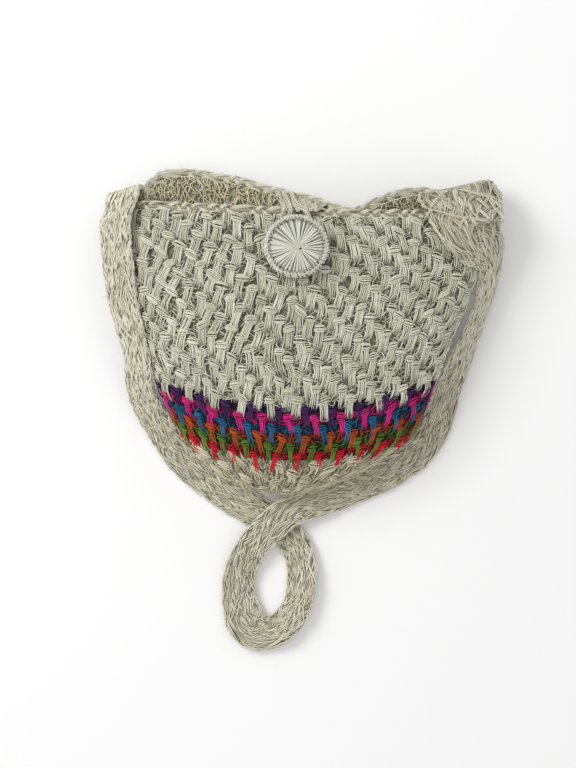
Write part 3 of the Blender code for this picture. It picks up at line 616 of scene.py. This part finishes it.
def makeInnerFace():
    threads = Threads()
    t = np.linspace(-1, 1, 5)
    k = np.arange(inner["strands"])[None, :, None]
    each = (columns, inner["strands"], 1)
    for number in range(inner["rounds"]):
        turn0 = (np.arange(columns) + 0.5 * (number % 2)) / columns + rng.normal(0, 0.0008, columns)
        depth0 = roundDepth(number) - 2 * mm + rng.normal(0, 0.6 * mm, columns)
        turn0, depth0 = turn0[:, None, None], depth0[:, None, None]
        slant = rng.normal(0.2, 1.0, each) * inner["slant"]
        along = inner["length"] / 2 * t * rng.uniform(0.6, 1.15, each)
        bend = rng.normal(0, 0.9, each) * (1 - t * t)
        acrossCell = (k % 3 - 1.0) * 3.0 + rng.uniform(-1.5, 1.5, each)
        alongCell = (k // 3 - 1.0) * 2.8 + rng.uniform(-1.4, 1.4, each)
        x = along * np.sin(slant) + bend * np.cos(slant) + acrossCell
        y = along * np.cos(slant) - bend * np.sin(slant) + alongCell
        level = rng.uniform(0, 1, each)
        h = -bag["wall"] / mm + 0.9 - inner["rise"] * (1 - t * t) - 1.1 * level
        depth = np.clip(depth0 + y * mm, 0.5 * mm, None)
        centres, facings = skin(depth, turn0 + x * mm / girthAt(depth0), h * mm)
        # painted shade: the deeper strands are darker
        sunk = np.clip(0.15 * t * t + 0.28 * (1 - level), 0, 0.7)
        threads.add(centres, -facings, inner["radius"] * mm, 3, sunk)
    threads.place("upper_wall_inner_strands", "innerCream", "upper_wall")


def makeBand():
    for index, name in enumerate(("purple", "magenta", "blue", "orange", "green", "red")):
        threads = Threads()
        addStitches(threads, bag["wallRounds"] + index, bandLook)
        addFillers(threads, bag["wallRounds"] + index, 0.0, 0.3, 5)
        node = name + "_round"
        threads.place(node + "_stitches", name, node)
        start = wallLength + index * bag["bandRoundHeight"]
        end = start + bag["bandRoundHeight"]
        addShell(node + "_inside", start + 0.1 * mm, end - 0.1 * mm, name, node, 0.9)


def makeBase():
    threads = Threads()
    first = bag["wallRounds"] + bag["bandRounds"]
    for number in range(first, first + 6):
        addStitches(threads, number, baseLook, 6)
        addFillers(threads, number, 0.0, 0.1, 8, 0.75, 1.1)
    threads.place("base_stitches", "baseCream", "base")
    end = length + capRows * gridStep - 0.5 * mm
    addShell("base_inside", wallLength + bandLength + 0.1 * mm, end, "cream", "base", 0.6, closed=True)


# The edging: a plait of three strands round the mouth
edging = {"radius": 3.0 * mm, "gap": 0.8 * mm, "plaits": 16, "swing": 3.4, "weave": 2.0, "threads": 3,
          "threadRadius": 0.66 * mm, "coreRadius": 2.1 * mm, "steps": 520}


def edgeFrame(turn):
    depth = 0 * turn
    outer, off = skin(depth, turn, depth)
    ahead, _ = skin(depth, turn + 0.003, depth)
    behind, _ = skin(depth, turn - 0.003, depth)
    way = unit(np.cross(off, unit(ahead - behind)))
    return outer - off * bag["wall"] / 2, way, off


def makeEdging():
    threads = Threads()
    turn = np.linspace(0, 1, edging["steps"])
    middle, way, off = edgeFrame(turn)
    centre = middle + way * (edging["gap"] + edging["radius"] * 0.75)
    phase = math.tau * edging["plaits"] * turn
    phase = phase + 0.5 * np.sin(turn * math.tau * 7) + 0.4 * np.sin(turn * math.tau * 19)
    drift = 0.5 * np.sin(turn * math.tau * 9) + 0.4 * np.sin(turn * math.tau * 23 + 1)
    behind = np.clip(1 - np.abs(turn - 0.5) / 0.3, 0, 1)
    swing = edging["swing"] * (1 - 0.25 * behind)
    for strand in range(3):
        shifted = phase + math.tau * strand / 3
        for k in range(edging["threads"]):
            spread = (k - (edging["threads"] - 1) / 2) * 1.15
            up = swing * np.sin(shifted) + spread * np.abs(np.cos(shifted)) + drift * 0.5
            out = edging["weave"] * np.sin(2 * shifted) + spread * 0.25 * np.sin(shifted)
            path = centre + way * (up * mm)[:, None] + off * (out * mm)[:, None]
            # painted light and shade: threads that stand further out are lighter, the back half of the edging
            # is painted lighter, and the core inside the plait is painted dark as shade
            lit = 0.30 * out / edging["weave"] * (1 - 2 * behind)
            threads.add(path, off, edging["threadRadius"], 4, np.clip(0.16 - lit - 0.12 * behind, 0, 0.5))
    core = centre + way * ((0.4 * np.sin(phase * 1.5) - 0.9 + 0.9 * behind) * mm)[:, None]
    threads.add(core, off, edging["coreRadius"], 6, 0.55 - 0.35 * behind)
    threads.place("rim_edging_plait", "edgeCream", "rim_edging")


# The button: a disc wound with thread from an off-centre cross
button = {"x": 7.5 * mm, "depth": 29.5 * mm, "radius": 25.5 * mm, "standoff": 8.3 * mm, "spokes": 66,
          "edgeStitches": 50, "holes": 26, "cross": np.array([1.5, -1.5]) * mm}


def findButton():
    turns = np.arange(-80, 81) / 400
    points, facings = skin(button["depth"] + 0 * turns, turns, 0 * turns)
    best = int(np.argmin(np.abs(points[:, 0] - button["x"])))
    foot, up = points[best], facings[best]
    right = unit(np.cross(np.array([0.0, 1.0, 0.0]), up))
    return foot, right, np.cross(up, right), up


buttonFoot, buttonRight, buttonAhead, buttonUp = findButton()
buttonBase = buttonFoot + buttonUp * button["standoff"]


# a place on the button: to the right, ahead and up from the middle of its back
def onButton(x, y, h):
    x, y, h = np.broadcast_arrays(x, y, h)
    return (buttonBase + buttonRight * x[..., None] + buttonAhead * y[..., None]
            + buttonUp * h[..., None])


def roundButton(radius, angle, h):
    return onButton(radius * np.cos(angle), radius * np.sin(angle), h)


def makeButtonCore():
    rows = np.array(((0.5, 0.2), (0.88, 0.2), (0.95, 1.0), (0.96, 3.0), (0.93, 4.8), (0.82, 5.0),
                     (0.60, 4.9), (0.30, 5.0)))
    cols = 72
    around = math.tau * np.arange(cols) / cols
    core = roundButton(button["radius"] * rows[:, :1], around, rows[:, 1:] * mm).reshape(-1, 3)
    ends = np.array([onButton(0.0, 0.0, 0.4 * mm), onButton(0.0, 0.0, 5.0 * mm)])
    index = np.arange(len(core)).reshape(-1, cols)
    following = np.roll(index, -1, axis=1)
    low, high = len(core), len(core) + 1
    fans = np.concatenate([np.stack([following[0], index[0], np.full(cols, low)], axis=-1),
                           np.stack([index[-1], following[-1], np.full(cols, high)], axis=-1)])
    verts = np.concatenate([core, ends])
    # painted shade: the core under the winding is darkened as the shade between the spokes
    disc = meshFrom("button_disc_core", verts, [ringFaces(index), fans], 0.4, 0.7)
    place(disc, "buttonCream", "button_disc")


def makeButton():
    makeButtonCore()
    radius, cross = button["radius"], button["cross"]
    threads = Threads()
    # spokes from the cross to the edge, in little groups
    n = button["spokes"]
    angle = math.tau * (np.arange(n) + 0.40 * np.sin(np.arange(n) * 2.1) + rng.normal(0, 0.25, n)) / n
    t = np.linspace(0.03, 1, 9)
    endX, endY = radius * 0.90 * np.cos(angle), radius * 0.90 * np.sin(angle)
    x = cross[0] + (endX - cross[0])[:, None] * t
    y = cross[1] + (endY - cross[1])[:, None] * t
    h = 5.35 * mm + 0.45 * mm * np.sin(math.pi * t) - 0.6 * mm * t**6 + rng.normal(0, 0.16 * mm, (n, 1))
    # painted shade: spokes darken near the cross and at the edge, where they go under
    sunk = np.clip(0.25 * (1 - t) ** 3 + 0.35 * t**10, 0, 1)
    r = mm * (0.34 + 0.64 * t) * rng.normal(1, 0.12, (n, 1))
    threads.add(onButton(x, y, h), buttonUp, r, 5, sunk)
    # the stitches over the edge and down the side
    n = button["edgeStitches"]
    angle = math.tau * np.arange(n) / n
    s = np.linspace(0, 1, 9)
    bow = np.array([0.86, 0.92, 0.98, 1.02, 1.035, 1.03, 1.01, 0.97, 0.90])
    level = np.array([5.2, 5.9, 6.1, 5.6, 4.4, 2.9, 1.4, 0.4, 0.1]) * mm
    for k in range(2):
        slope = angle[:, None] + (0.10 + 0.05 * k) * s + rng.normal(0, 0.022, (n, 1))
        centres = roundButton(radius * bow, slope, level)
        outward = unit(centres - buttonBase - buttonUp * 2.5 * mm)
        # painted shade at both ends of each edge stitch, where it goes under
        threads.add(centres, outward, 0.8 * mm, 5, np.clip(0.6 * (1 - np.sin(math.pi * s)), 0, 0.6))
    # a lip of two cords round the face
    ring = np.linspace(0, math.tau, 200)
    for reach, lift, phase in ((0.955, 6.05, 0.0), (0.985, 5.55, 2.0)):
        wobble = 0.35 * np.sin(ring * 31 + phase) + 0.25 * np.sin(ring * 7 + 2 * phase)
        wide = radius * (reach + 0.012 * np.sin(ring * 23 + phase) + 0.010 * np.sin(ring * 5))
        threads.add(roundButton(wide, ring, (lift + wobble) * mm), buttonUp, 0.6 * mm, 5, 0.05)
    # the cross in the middle
    s = np.linspace(-1, 1, 7)
    for a in (0.5, 0.5 + math.pi / 2):
        for shift in (-0.6, 0.6):
            x = cross[0] + (2.6 * s * math.cos(a) - shift * math.sin(a)) * mm
            y = cross[1] + (2.6 * s * math.sin(a) + shift * math.cos(a)) * mm
            threads.add(onButton(x, y, (6.1 - 0.9 * s**4) * mm), buttonUp, 0.45 * mm)
    threads.place("button_disc_winding", "buttonCream", "button_disc")
    makeHoles()

    # the shank: a short twisted stalk
    stalk = Threads()
    rise = np.linspace(0, 1, 9)
    for k in range(9):
        wide = (4.2 - 1.3 * np.sin(math.pi * rise)) * mm
        level = (2.4 + 6.0 * rise) * mm - button["standoff"]
        centres = roundButton(wide, math.tau * k / 9 + rise * 1.4, level)
        # painted shade: the stalk under the button is darkened
        stalk.add(centres, unit(centres - (buttonBase - buttonUp * 5 * mm)), 0.9 * mm, 6, 0.4)
    stalk.place("button_shank_yarn", "buttonCream", "button_shank")


# the small holes of a ring of stitches near the button's edge, and a dent near its cross, drawn as dark
# threads of painted shade
def makeHoles():
    threads = Threads()
    n = button["holes"]
    angle = math.tau * (np.arange(n) + rng.normal(0, 0.10, n)) / n
    s = np.linspace(-1, 1, 4)
    reach = button["radius"] * 0.865 + s[None] * 0.75 * mm
    threads.add(roundButton(reach, angle[:, None], 5.62 * mm), buttonUp, 0.5 * mm, 5, 1.0)
    x, y = button["cross"] + np.array([1.6, -1.0]) * mm
    deep = onButton(x + 0.7 * s * mm, y - 0.4 * s * mm, 5.75 * mm)
    threads.add(deep, buttonUp, 0.85 * mm, 6, 1.0)
    threads.place("button_disc_holes", "holeShade", "button_disc")


# A smooth path through given points
def smoothPath(points, spacing):
    points = np.array(points, dtype=float)
    dense = []
    for i in range(len(points) - 1):
        before, start = points[max(i - 1, 0)], points[i]
        end, after = points[i + 1], points[min(i + 2, len(points) - 1)]
        for step in range(12):
            t = step / 12
            bend = (2 * before - 5 * start + 4 * end - after) * t * t
            dense.append(0.5 * (2 * start + (end - before) * t + bend
                                + (3 * start - before - 3 * end + after) * t**3))
    dense.append(points[-1])
    dense = np.array(dense)
    walked = np.concatenate([[0], np.cumsum(np.linalg.norm(np.diff(dense[:, :3], axis=0), axis=1))])
    count = max(round(walked[-1] / spacing), 2)
    want = np.linspace(0, walked[-1], count + 1)
    return np.stack([np.interp(want, walked, dense[:, k]) for k in range(dense.shape[1])], axis=1), walked[-1]


# The button loop: a bundle of yarn from the back edge round the button's shank
buttonLoop = {"radius": 1.9, "knitRise": 2.2, "gap": 0.3, "threads": 6, "threadRadius": 0.55}
# its netted root, which spreads out on the back edge
root = {"strands": 150, "backHalf": 21.0, "frontHalf": 14.0, "backShift": 13.0, "frontShift": 3.0,
        "sag": 2.0, "threadRadius": 0.6}


def makeButtonLoop():
    foot = buttonFoot
    clear = buttonLoop["gap"] + buttonLoop["radius"]
    frontEdge = edgeFrame(np.zeros(1))[0][0]
    top = frontEdge[2] + bag["wall"] / 2 + 1.1 * edging["radius"] + (clear + 1.4) * mm
    turns = np.arange(140, 261) / 400
    rim = skin(0 * turns, turns, 0 * turns)[0]
    turn = turns[int(np.argmin(np.abs(rim[:, 0])))]
    middle, way, _ = (value[0] for value in edgeFrame(np.array([turn])))
    back = middle + way * (edging["gap"] + edging["radius"])
    back = back + np.array([0, 0, 1.1 * edging["radius"] + (clear + 0.7) * mm])
    edgeY = (frontEdge[1] - foot[1]) / mm
    half = np.array([2.6 * mm, 0, 0])

    def flat(x, y, rise=0.0):
        up = buttonLoop["knitRise"] + clear + 0.5 + rise
        return foot + buttonRight * x * mm + buttonAhead * y * mm + buttonUp * up * mm

    def overEdge(x, ahead=0.0):
        return np.array([foot[0] + x * mm, frontEdge[1] + ahead * mm, top])

    def between(start, x):
        return start + (overEdge(x) - start) * 0.55 + np.array([0, 0, 1 * mm])

    route = [
        back - half * 1.2, between(back - half, -3.5), overEdge(-5, 3),
        flat(-10, edgeY - 9, 0.5), flat(-19, edgeY - 17), flat(-27.5, 5), flat(-24, -5), flat(-13, -10.5),
        flat(0, -11.5), flat(10, -7), flat(13.5, 3), flat(14, 14), flat(13, edgeY - 9, 0.5),
        overEdge(8, 3), between(back + half, 4), back + half * 1.2,
    ]
    samples, _ = smoothPath(route, 2.2 * mm)
    along = unit(np.gradient(samples, axis=0))
    side = unit(np.cross(along, np.array([0.05, 0.1, 1.0])))
    over = np.cross(side, along)
    s = np.linspace(0, 1, len(samples))
    threads = Threads()
    for k in range(buttonLoop["threads"]):
        a = math.tau * k / buttonLoop["threads"] + s * 9
        wide = 1.55 * np.cos(a) + 0.25 * np.sin(s * 40 + k)
        path = samples + side * (wide * mm)[:, None] + over * (0.95 * np.sin(a) * mm)[:, None]
        # painted shade: threads on the under side of the bundle are darker
        threads.add(path, over, buttonLoop["threadRadius"] * mm, 5, np.clip(0.25 - 0.3 * np.sin(a), 0, 0.5))

    # the root: strands across it, then four along each of its borders
    n = root["strands"]
    borders = np.repeat((-1.0, 1.0), 4)[:, None] * (1 + rng.normal(0, 0.03, (8, 1)))
    start = np.concatenate([rng.uniform(-1, 1, (n, 1)), borders])
    end = np.clip(start + np.concatenate([rng.normal(0, 0.4, (n, 1)), 0 * borders]), -1, 1)
    first = np.concatenate([rng.uniform(0, 0.6, (n, 1)), 0 * borders])
    reach = np.concatenate([rng.uniform(0.35, 0.6, (n, 1)), 1 + 0 * borders])
    t = np.clip(first + reach * np.linspace(0, 1, 6), 0, 1)
    order = np.argsort(rim[:, 0])
    backX = back[0] + (root["backShift"] + root["backHalf"] * start) * mm
    backY, backZ = (np.interp(backX, rim[order, 0], rim[order, axis]) for axis in (1, 2))
    frontX = foot[0] + (root["frontShift"] + root["frontHalf"] * end) * mm
    x = backX * (1 - t) + frontX * t + rng.normal(0, 0.5, t.shape) * mm
    y = (backY + 4.5 * mm) * (1 - t) + (frontEdge[1] + 3 * mm) * t
    z = (backZ + 3.0 * mm) * (1 - t) + (top + 0.6 * mm) * t - root["sag"] * mm * np.sin(math.pi * t)
    z = z + rng.normal(0, 0.7, (n + 8, 1)) * mm * np.sin(math.pi * t)
    sunk = np.clip(rng.uniform(0, 0.35, (n + 8, 1)), 0, 1)
    path = np.stack([x, y, z], axis=-1)
    threads.add(path, np.array([0.0, 0.0, 1.0]), root["threadRadius"] * mm, 4, sunk)
    threads.place("button_loop_yarn", "edgeCream", "button_loop")


# The strap: rows of short bundles between looped edges. Lengths in mm, angles in degrees
strap = {
    "width": 31.0, "row": 5.2, "posts": 5, "threads": 3, "threadRadius": 0.60, "run": (9.5, 17.0),
    "slant": 12, "edgeLoop": 5.5, "bulge": 9.0, "bulgeReach": 16.0, "lean": 30, "clearance": 10,
    "fold": 5, "foldRise": 4, "seam": 1.6, "leftFlare": (1.1, 1.2), "rightFlare": (1.7, 2.5),
    "leftSwing": -20, "rightSwing": 28, "rightShift": 10,
}
# from each shoulder down: out from the bag's outline and depth in mm, height as a share of the
# thickness, width as a share, lean in degrees
leftRun = (
    (0, 9, 0.66, 1.00, 30), (0, 34, 0.64, 1.00, 30), (0, 64, 0.62, 0.98, 32),
    (-0.5, 92, 0.62, 0.95, 36), (-3, 118, 0.53, 0.92, 40), (-7, 142, 0.38, 0.90, 38),
    (-11, 162, 0.24, 0.88, 30),
)
# below the base: across as a share of the half width, depth below it and height in mm, width, lean
freeRun = (
    (-0.699, -42, 8, 0.90, 16), (-0.589, -22, 4, 0.92, 6), (-0.418, -2, 3.2, 0.92, 2),
    (-0.233, 15, 3.2, 0.90, 0), (-0.075, 28, 3.2, 0.86, 0), (0.027, 43, 3.4, 0.84, 4),
    (0.075, 61, 4.5, 0.84, 10), (0.082, 80, 6, 0.84, 16), (0.055, 99, 6.5, 0.82, 20),
    (-0.014, 115, 6.5, 0.84, 16), (-0.110, 123, 5, 0.94, 8), (-0.225, 119, 5, 1.14, 4),
    (-0.277, 101, 4.5, 1.02, 0), (-0.293, 83, 4.5, 0.92, 0), (-0.274, 66, 6, 0.88, 0),
    (-0.212, 49, 9, 0.88, 0), (-0.116, 33, 11, 0.88, 0), (0.007, 18, 11, 0.88, 0),
    (0.178, 10, 8, 0.86, 8), (0.390, -1, 5, 0.86, 10), (0.603, -15, 4.5, 0.86, 10),
    (0.774, -33, 4.5, 0.86, 8), (0.884, -58, 4.5, 0.86, 8),
)
rightRun = (
    (15, 146, 0.17, 0.86, 20), (17, 124, 0.25, 0.84, 38), (18, 101, 0.30, 0.82, 52),
    (17, 81, 0.33, 0.82, 54), (15, 60, 0.36, 0.84, 50), (12, 41, 0.46, 0.92, 42),
    (7, 26, 0.62, 1.20, 32), (-3, 12, 0.80, 1.90, 30),
)


def outlineAt(side, depth):
    rings = length * np.arange(41) / 40
    points = bagAt(rings, math.pi / 2 * side + 0 * rings)
    return points[int(np.argmin(np.abs(points[:, 1] - (bag["mouthY"] - depth))))]


def rootFold(side, joined, flare, radius, shift, swing):
    edge = bagAt(np.array(0.0), np.array(math.pi / 2 * side)) - np.array([side * shift * mm, 0, 0])
    lean, swing = math.radians(strap["lean"]), math.radians(swing)
    across = np.array([side * math.cos(lean), 0, -math.sin(lean)])
    swung = np.array([across[0] * math.cos(swing), math.sin(swing), across[2]])
    normal = np.array([side * math.sin(lean), 0, math.cos(lean)])
    rise = 2 * edging["radius"] + edging["gap"] + 0.6 * mm + 2 * strap["seam"] * mm
    foot = edge + np.array([side * -1.0 * mm, rise, 0])
    foldRise = strap["foldRise"] * mm
    top = foot + np.array([0, foldRise, 0]) + normal * 0.1 * foldRise
    rows = [(foot, flare[0], across), (top, flare[0], across)]
    for degrees in (45, 90, 135, 180):
        turn = math.radians(degrees)
        out = normal * (1 - math.cos(turn)) + np.array([0, math.sin(turn), 0])
        width = flare[0] + (flare[1] - flare[0]) * ease(degrees / 180)
        rows.append((top + out * radius * mm, width, across + (swung - across) * degrees / 180))
    rows.append(((rows[-1][0] + joined[:3]) / 2, flare[1] * 0.5 + joined[3] * 0.5, swung))
    return [np.array([*at, width, *way]) for at, width, way in rows]


def strapStations():
    rows = []
    for side, run in ((-1, leftRun), (0, freeRun), (1, rightRun)):
        for x, depth, height, width, lean in run:
            if side == 0:
                at = np.array([x * bag["halfWidth"], bag["mouthY"] - length - depth * mm, height * mm])
            else:
                edge = outlineAt(side, depth * mm)
                out = -strap["clearance"] * mm if side < 0 else 0.0
                at = np.array([edge[0] + out + x * mm, edge[1], height * bag["thickness"]])
            rows.append((at, width, lean))
    stations = []
    for i, (at, width, lean) in enumerate(rows):
        along = rows[min(i + 1, len(rows) - 1)][0] - rows[max(i - 1, 0)][0]
        along[2] = 0
        along = unit(along)
        tilt = math.radians(lean)
        across = np.array([along[1], -along[0], 0]) * math.cos(tilt) - np.array([0, 0, math.sin(tilt)])
        stations.append(np.array([*at, width, *across]))
    first = rootFold(-1, stations[0], strap["leftFlare"], strap["fold"], 0, strap["leftSwing"])
    last = rootFold(1, stations[-1], strap["rightFlare"], strap["fold"] * 1.3, strap["rightShift"],
                    strap["rightSwing"])
    return first + stations + last[::-1]


strapPath, strapLength = smoothPath(strapStations(), 2.0 * mm)
strapAlong = unit(np.gradient(strapPath[:, :3], axis=0))
strapAcross = strapPath[:, 4:7] - strapAlong * np.sum(strapPath[:, 4:7] * strapAlong, axis=1)[:, None]
strapAcross = unit(strapAcross)
strapNormal = np.cross(strapAcross, strapAlong)
# past the right fold the strap's outer edge bulges out
walkedStrap = np.linspace(0, strapLength, len(strapPath))
pastFold = (walkedStrap > 0.85 * strapLength) & (walkedStrap < strapLength - 25 * mm)
onShoulder = np.argmin(np.abs(strapPath[:, 1] - 78 * mm) + (~pastFold) * 1.0)
strapBulgeAt = walkedStrap[onShoulder]
strapOuterSide = np.sign(strapAcross[onShoulder, 0])


# a place on the strap: way along it in metres, across from -1 to 1, out off its middle in metres
def onStrap(way, across, out):
    way, across, out = np.broadcast_arrays(np.clip(way, 0, strapLength), across, out)
    index = way / strapLength * (len(strapPath) - 1)

    def read(values):
        low = np.clip(index.astype(int), 0, len(strapPath) - 2)
        share = (index - low)[..., None]
        return values[low] * (1 - share) + values[low + 1] * share

    half = read(strapPath[:, 3:4])[..., 0] * strap["width"] / 2 * mm
    outer = np.clip(across * strapOuterSide, 0, 1) ** 2
    fromBulge = (way - strapBulgeAt) / (strap["bulgeReach"] * mm)
    half = half + strap["bulge"] * mm * outer * np.exp(-fromBulge**2)
    normal = read(strapNormal)
    points = read(strapPath[:, :3]) + read(strapAcross) * (across * half)[..., None] + normal * out[..., None]
    return points, normal


# bundles of short threads that overlap down the strap, on one face
def makeStrapFace(face, label, rowHeight):
    threads = Threads()
    k = strap["threads"]
    t = np.linspace(0, 1, 5)
    rows = int(round(strapLength / (rowHeight * mm)))
    step = strapLength / rows
    for row in range(rows):
        wide = np.interp((row + 0.5) * step, walkedStrap, strapPath[:, 3])
        spreadOut = ease((wide - 1.1) / 0.8)
        posts = max(int(round(strap["posts"] * wide / 0.9 * (1 - 0.22 * spreadOut))), 3)
        first = ((np.arange(posts) + (0.25 if row % 2 else 0.75)) * (2.0 / posts) - 1)[:, None, None] * 0.95
        run = rng.uniform(*strap["run"], (posts, 1, 1))
        slant = np.radians(rng.normal(0, 9 + 9 * spreadOut, (posts, 1, 1))
                           + strap["slant"] * (1 + 1.3 * spreadOut) * (1 if row % 2 else -1))
        pinch = 0.55 + 0.5 * np.sin(math.pi * t)
        spread = (np.arange(k) - (k - 1) / 2)[None, :, None] * 1.15 * pinch
        x = spread + run * (t - 0.5) * np.tan(slant) + rng.normal(0, 0.35, (posts, k, 1))
        x = x + rng.normal(0, 0.22, (posts, k, len(t)))
        begin = (row + rng.uniform(-0.5, 0.5, (posts, 1, 1))) * step
        way = begin + run * mm * t + rng.normal(0, 0.9 * mm, (posts, k, 1))
        puff = rng.normal(0, 0.35, (posts, 1, 1))
        out = 0.1 + (1.5 + puff) * np.sin(math.pi * t) ** 0.8 + rng.normal(0, 0.2, (posts, k, 1))
        across = np.clip(first + x / (wide * strap["width"] / 2), -0.99, 0.99)
        centres, normal = onStrap(way, across, face * out * mm)
        # painted shade: bundle ends darken where they dip into the strap, puffed bundles are lighter, and the
        # flared root is darkened as the shade under it
        sunk = np.clip(0.48 * np.abs(2 * t - 1) ** 3 - 0.3 * puff + 0.14 * spreadOut, 0, 0.75)
        threads.add(centres, face * normal, strap["threadRadius"] * (1 + 0.15 * spreadOut) * mm, 3, sunk)
    threads.place("strap_threads_" + label, "strapCream", "strap")


def makeStrapEdges():
    edges = Threads()
    k = strap["threads"]
    t = np.linspace(0, 1, 5)
    pitch = strap["edgeLoop"] * mm
    count = int(strapLength / pitch)
    start = (np.arange(count)[:, None, None] + rng.uniform(-0.25, 0.25, (count, 1, 1))) * pitch
    spread = (np.arange(k) - (k - 1) / 2)[None, :, None]
    for side in (-1, 1):
        reach = rng.uniform(1.2, 1.8, (count, 1, 1)) * pitch
        way = start + reach * t + rng.normal(0, 0.3 * mm, (count, k, 1))
        bulge = rng.normal(0.055, 0.03, (count, 1, 1))
        across = side * (0.90 - 0.03 * np.abs(spread) + (0.05 + bulge) * np.sin(math.pi * t))
        out = (spread * 0.95 * np.sin(math.pi * t) + rng.normal(0, 0.25, (count, k, 1))) * mm
        centres, normal = onStrap(way, across, out)
        # painted shade at the loop ends, where they turn under
        edges.add(centres, normal, 0.62 * mm, 4, np.clip(0.4 * np.abs(2 * t - 1) ** 3, 0, 0.6))
    edges.place("strap_edge_loops", "strapCream", "strap")


# the thin dense middle of the strap, seen as shade between its threads
def makeStrapCore():
    count = int(strapLength / (4 * mm))
    way = np.linspace(0.5 * mm, strapLength - 0.5 * mm, count)
    section = ((-0.9, 0.0), (-0.6, 0.35), (0.6, 0.35), (0.9, 0.0), (0.6, -0.35), (-0.6, -0.35))
    rings = np.stack([onStrap(way, a, h * mm)[0] for a, h in section], axis=1)
    rings[..., 2] = np.maximum(rings[..., 2], 0.4 * mm)
    index = np.arange(count * len(section)).reshape(count, -1)
    caps = np.stack([index[0, ::-1], index[-1]])
    middle = meshFrom("strap_middle", rings.reshape(-1, 3), [ringFaces(index), caps], 0.3, 0.5)
    place(middle, "strapCream", "strap")


# whipped yarn that holds each end of the strap on the edging
def makeSeams():
    across = np.linspace(-0.92, 0.92, 40)
    for label, way in (("left", 0.0), ("right", strapLength)):
        threads = Threads()
        for k in range(3):
            a = math.tau * k / 3 + np.arange(len(across)) * 0.7
            centres, normal = onStrap(way, across, 0.8 * mm * np.sin(a))
            centres[:, 1] += 0.8 * mm * np.cos(a) - (strap["seam"] + 0.3) * mm
            threads.add(centres, normal, 0.6 * mm)
        name = "strap_seam_" + label
        threads.place(name + "_yarn", "edgeCream", name)


# Stray fibres that stand off the yarn
stray = {"wall": 900, "rim": 500, "strap": 900, "radius": 0.13, "length": (2.5, 6.0), "curl": 4}


def addStray(name, yarn, node, at, facing):
    n = len(at)
    t = np.linspace(0, 1, 4)
    way = unit(rng.normal(0, 1, (n, 3)))
    way = unit(way - facing * np.sum(way * facing, axis=1)[:, None] + facing * rng.uniform(0.1, 0.5, (n, 1)))
    reach = rng.uniform(*stray["length"], (n, 1, 1)) * mm
    curl = unit(rng.normal(0, 1, (n, 3)))[:, None] * (t * (1 - t))[:, None]
    curl = curl * rng.uniform(0, stray["curl"], (n, 1, 1)) * mm
    threads = Threads()
    threads.add(at[:, None] + way[:, None] * t[:, None] * reach + curl, facing[:, None],
                stray["radius"] * mm, 3, 0.1)
    threads.place(name, yarn, node)


def makeStrayFibres():
    n = stray["wall"]
    at, facing = skin(rng.uniform(0.5 * mm, wallLength, n), rng.uniform(-0.33, 0.33, n), 1.8 * mm)
    addStray("upper_wall_stray_fibres", "cream", "upper_wall", at, facing)
    middle, way, off = edgeFrame(rng.random(stray["rim"]))
    at = middle + way * (edging["gap"] + edging["radius"] * 1.5) + off * 0.5 * mm
    addStray("rim_edging_stray_fibres", "edgeCream", "rim_edging", at, way)
    n = stray["strap"]
    at, facing = onStrap(rng.uniform(0, strapLength, n), rng.choice((-0.9, 0.9, 0.5, -0.4), n), 1.2 * mm)
    addStray("strap_stray_fibres", "strapCream", "strap", at, facing)


# Floor, light and camera
studio = {"floorGlow": 0.06, "ambient": 0.64, "lampSize": 1.0,
          "key": 22.0, "keyPlace": (-1.4, 0.8, 1.5), "fill": 0.6, "fillPlace": (1.2, -0.6, 1.6)}
camera = {"place": (0.0, -38.3 * mm, 1.5), "lens": 80.8}


# a white floor that keeps its shadow, and glows a little to what looks at it
def makeFloor():
    bpy.ops.mesh.primitive_plane_add(size=6, location=(0, 0, -0.3 * mm))
    floor = bpy.context.object
    floor.name = "floor"
    material = bpy.data.materials.new("paleFloor")
    material.use_nodes = True
    tree = material.node_tree
    shader = tree.nodes["Principled BSDF"]
    shader.inputs["Base Color"].default_value = (1.0, 1.0, 1.0, 1)
    shader.inputs["Roughness"].default_value = 0.9
    shader.inputs["Emission Color"].default_value = (1, 1, 1, 1)
    rays = tree.nodes.new("ShaderNodeLightPath").outputs
    seen = mathNode(tree, "MAXIMUM", rays["Is Camera Ray"], rays["Is Glossy Ray"])
    seen = mathNode(tree, "MAXIMUM", seen, rays["Is Transmission Ray"])
    tree.links.new(mathNode(tree, "MULTIPLY", seen, studio["floorGlow"]), shader.inputs["Emission Strength"])
    floor.data.materials.append(material)


def makeStudio():
    scene = bpy.context.scene
    scene.world = bpy.data.worlds.new("studio")
    scene.world.use_nodes = True
    background = scene.world.node_tree.nodes["Background"]
    background.inputs["Strength"].default_value = studio["ambient"]
    background.inputs["Color"].default_value = (1, 1, 1, 1)
    for name in ("key", "fill"):
        light = bpy.data.lights.new(name, "AREA")
        light.size = studio["lampSize"]
        light.energy = studio[name]
        lamp = bpy.data.objects.new(name, light)
        lamp.location = studio[name + "Place"]
        x, y, z = -np.array(lamp.location)
        lamp.rotation_euler = (math.atan2(math.hypot(x, y), -z), 0, math.atan2(-x, y))
        scene.collection.objects.link(lamp)
    lens = bpy.data.cameras.new("camera")
    lens.lens = camera["lens"]
    scene.camera = bpy.data.objects.new("camera", lens)
    scene.camera.location = camera["place"]
    scene.collection.objects.link(scene.camera)
    scene.view_settings.view_transform = "Standard"


makeFloor()
makeStudio()
makeUpperWall()
print("upper wall made")
makeInnerFace()
makeBand()
makeBase()
print("band and base made")
makeEdging()
makeButton()
makeButtonLoop()
print("edging, button and loop made")
makeStrapFace(1, "front", strap["row"])
makeStrapFace(-1, "back", strap["row"] * 1.4)
makeStrapEdges()
makeStrapCore()
makeSeams()
print("strap made")
makeStrayFibres()
print("stray fibres made")
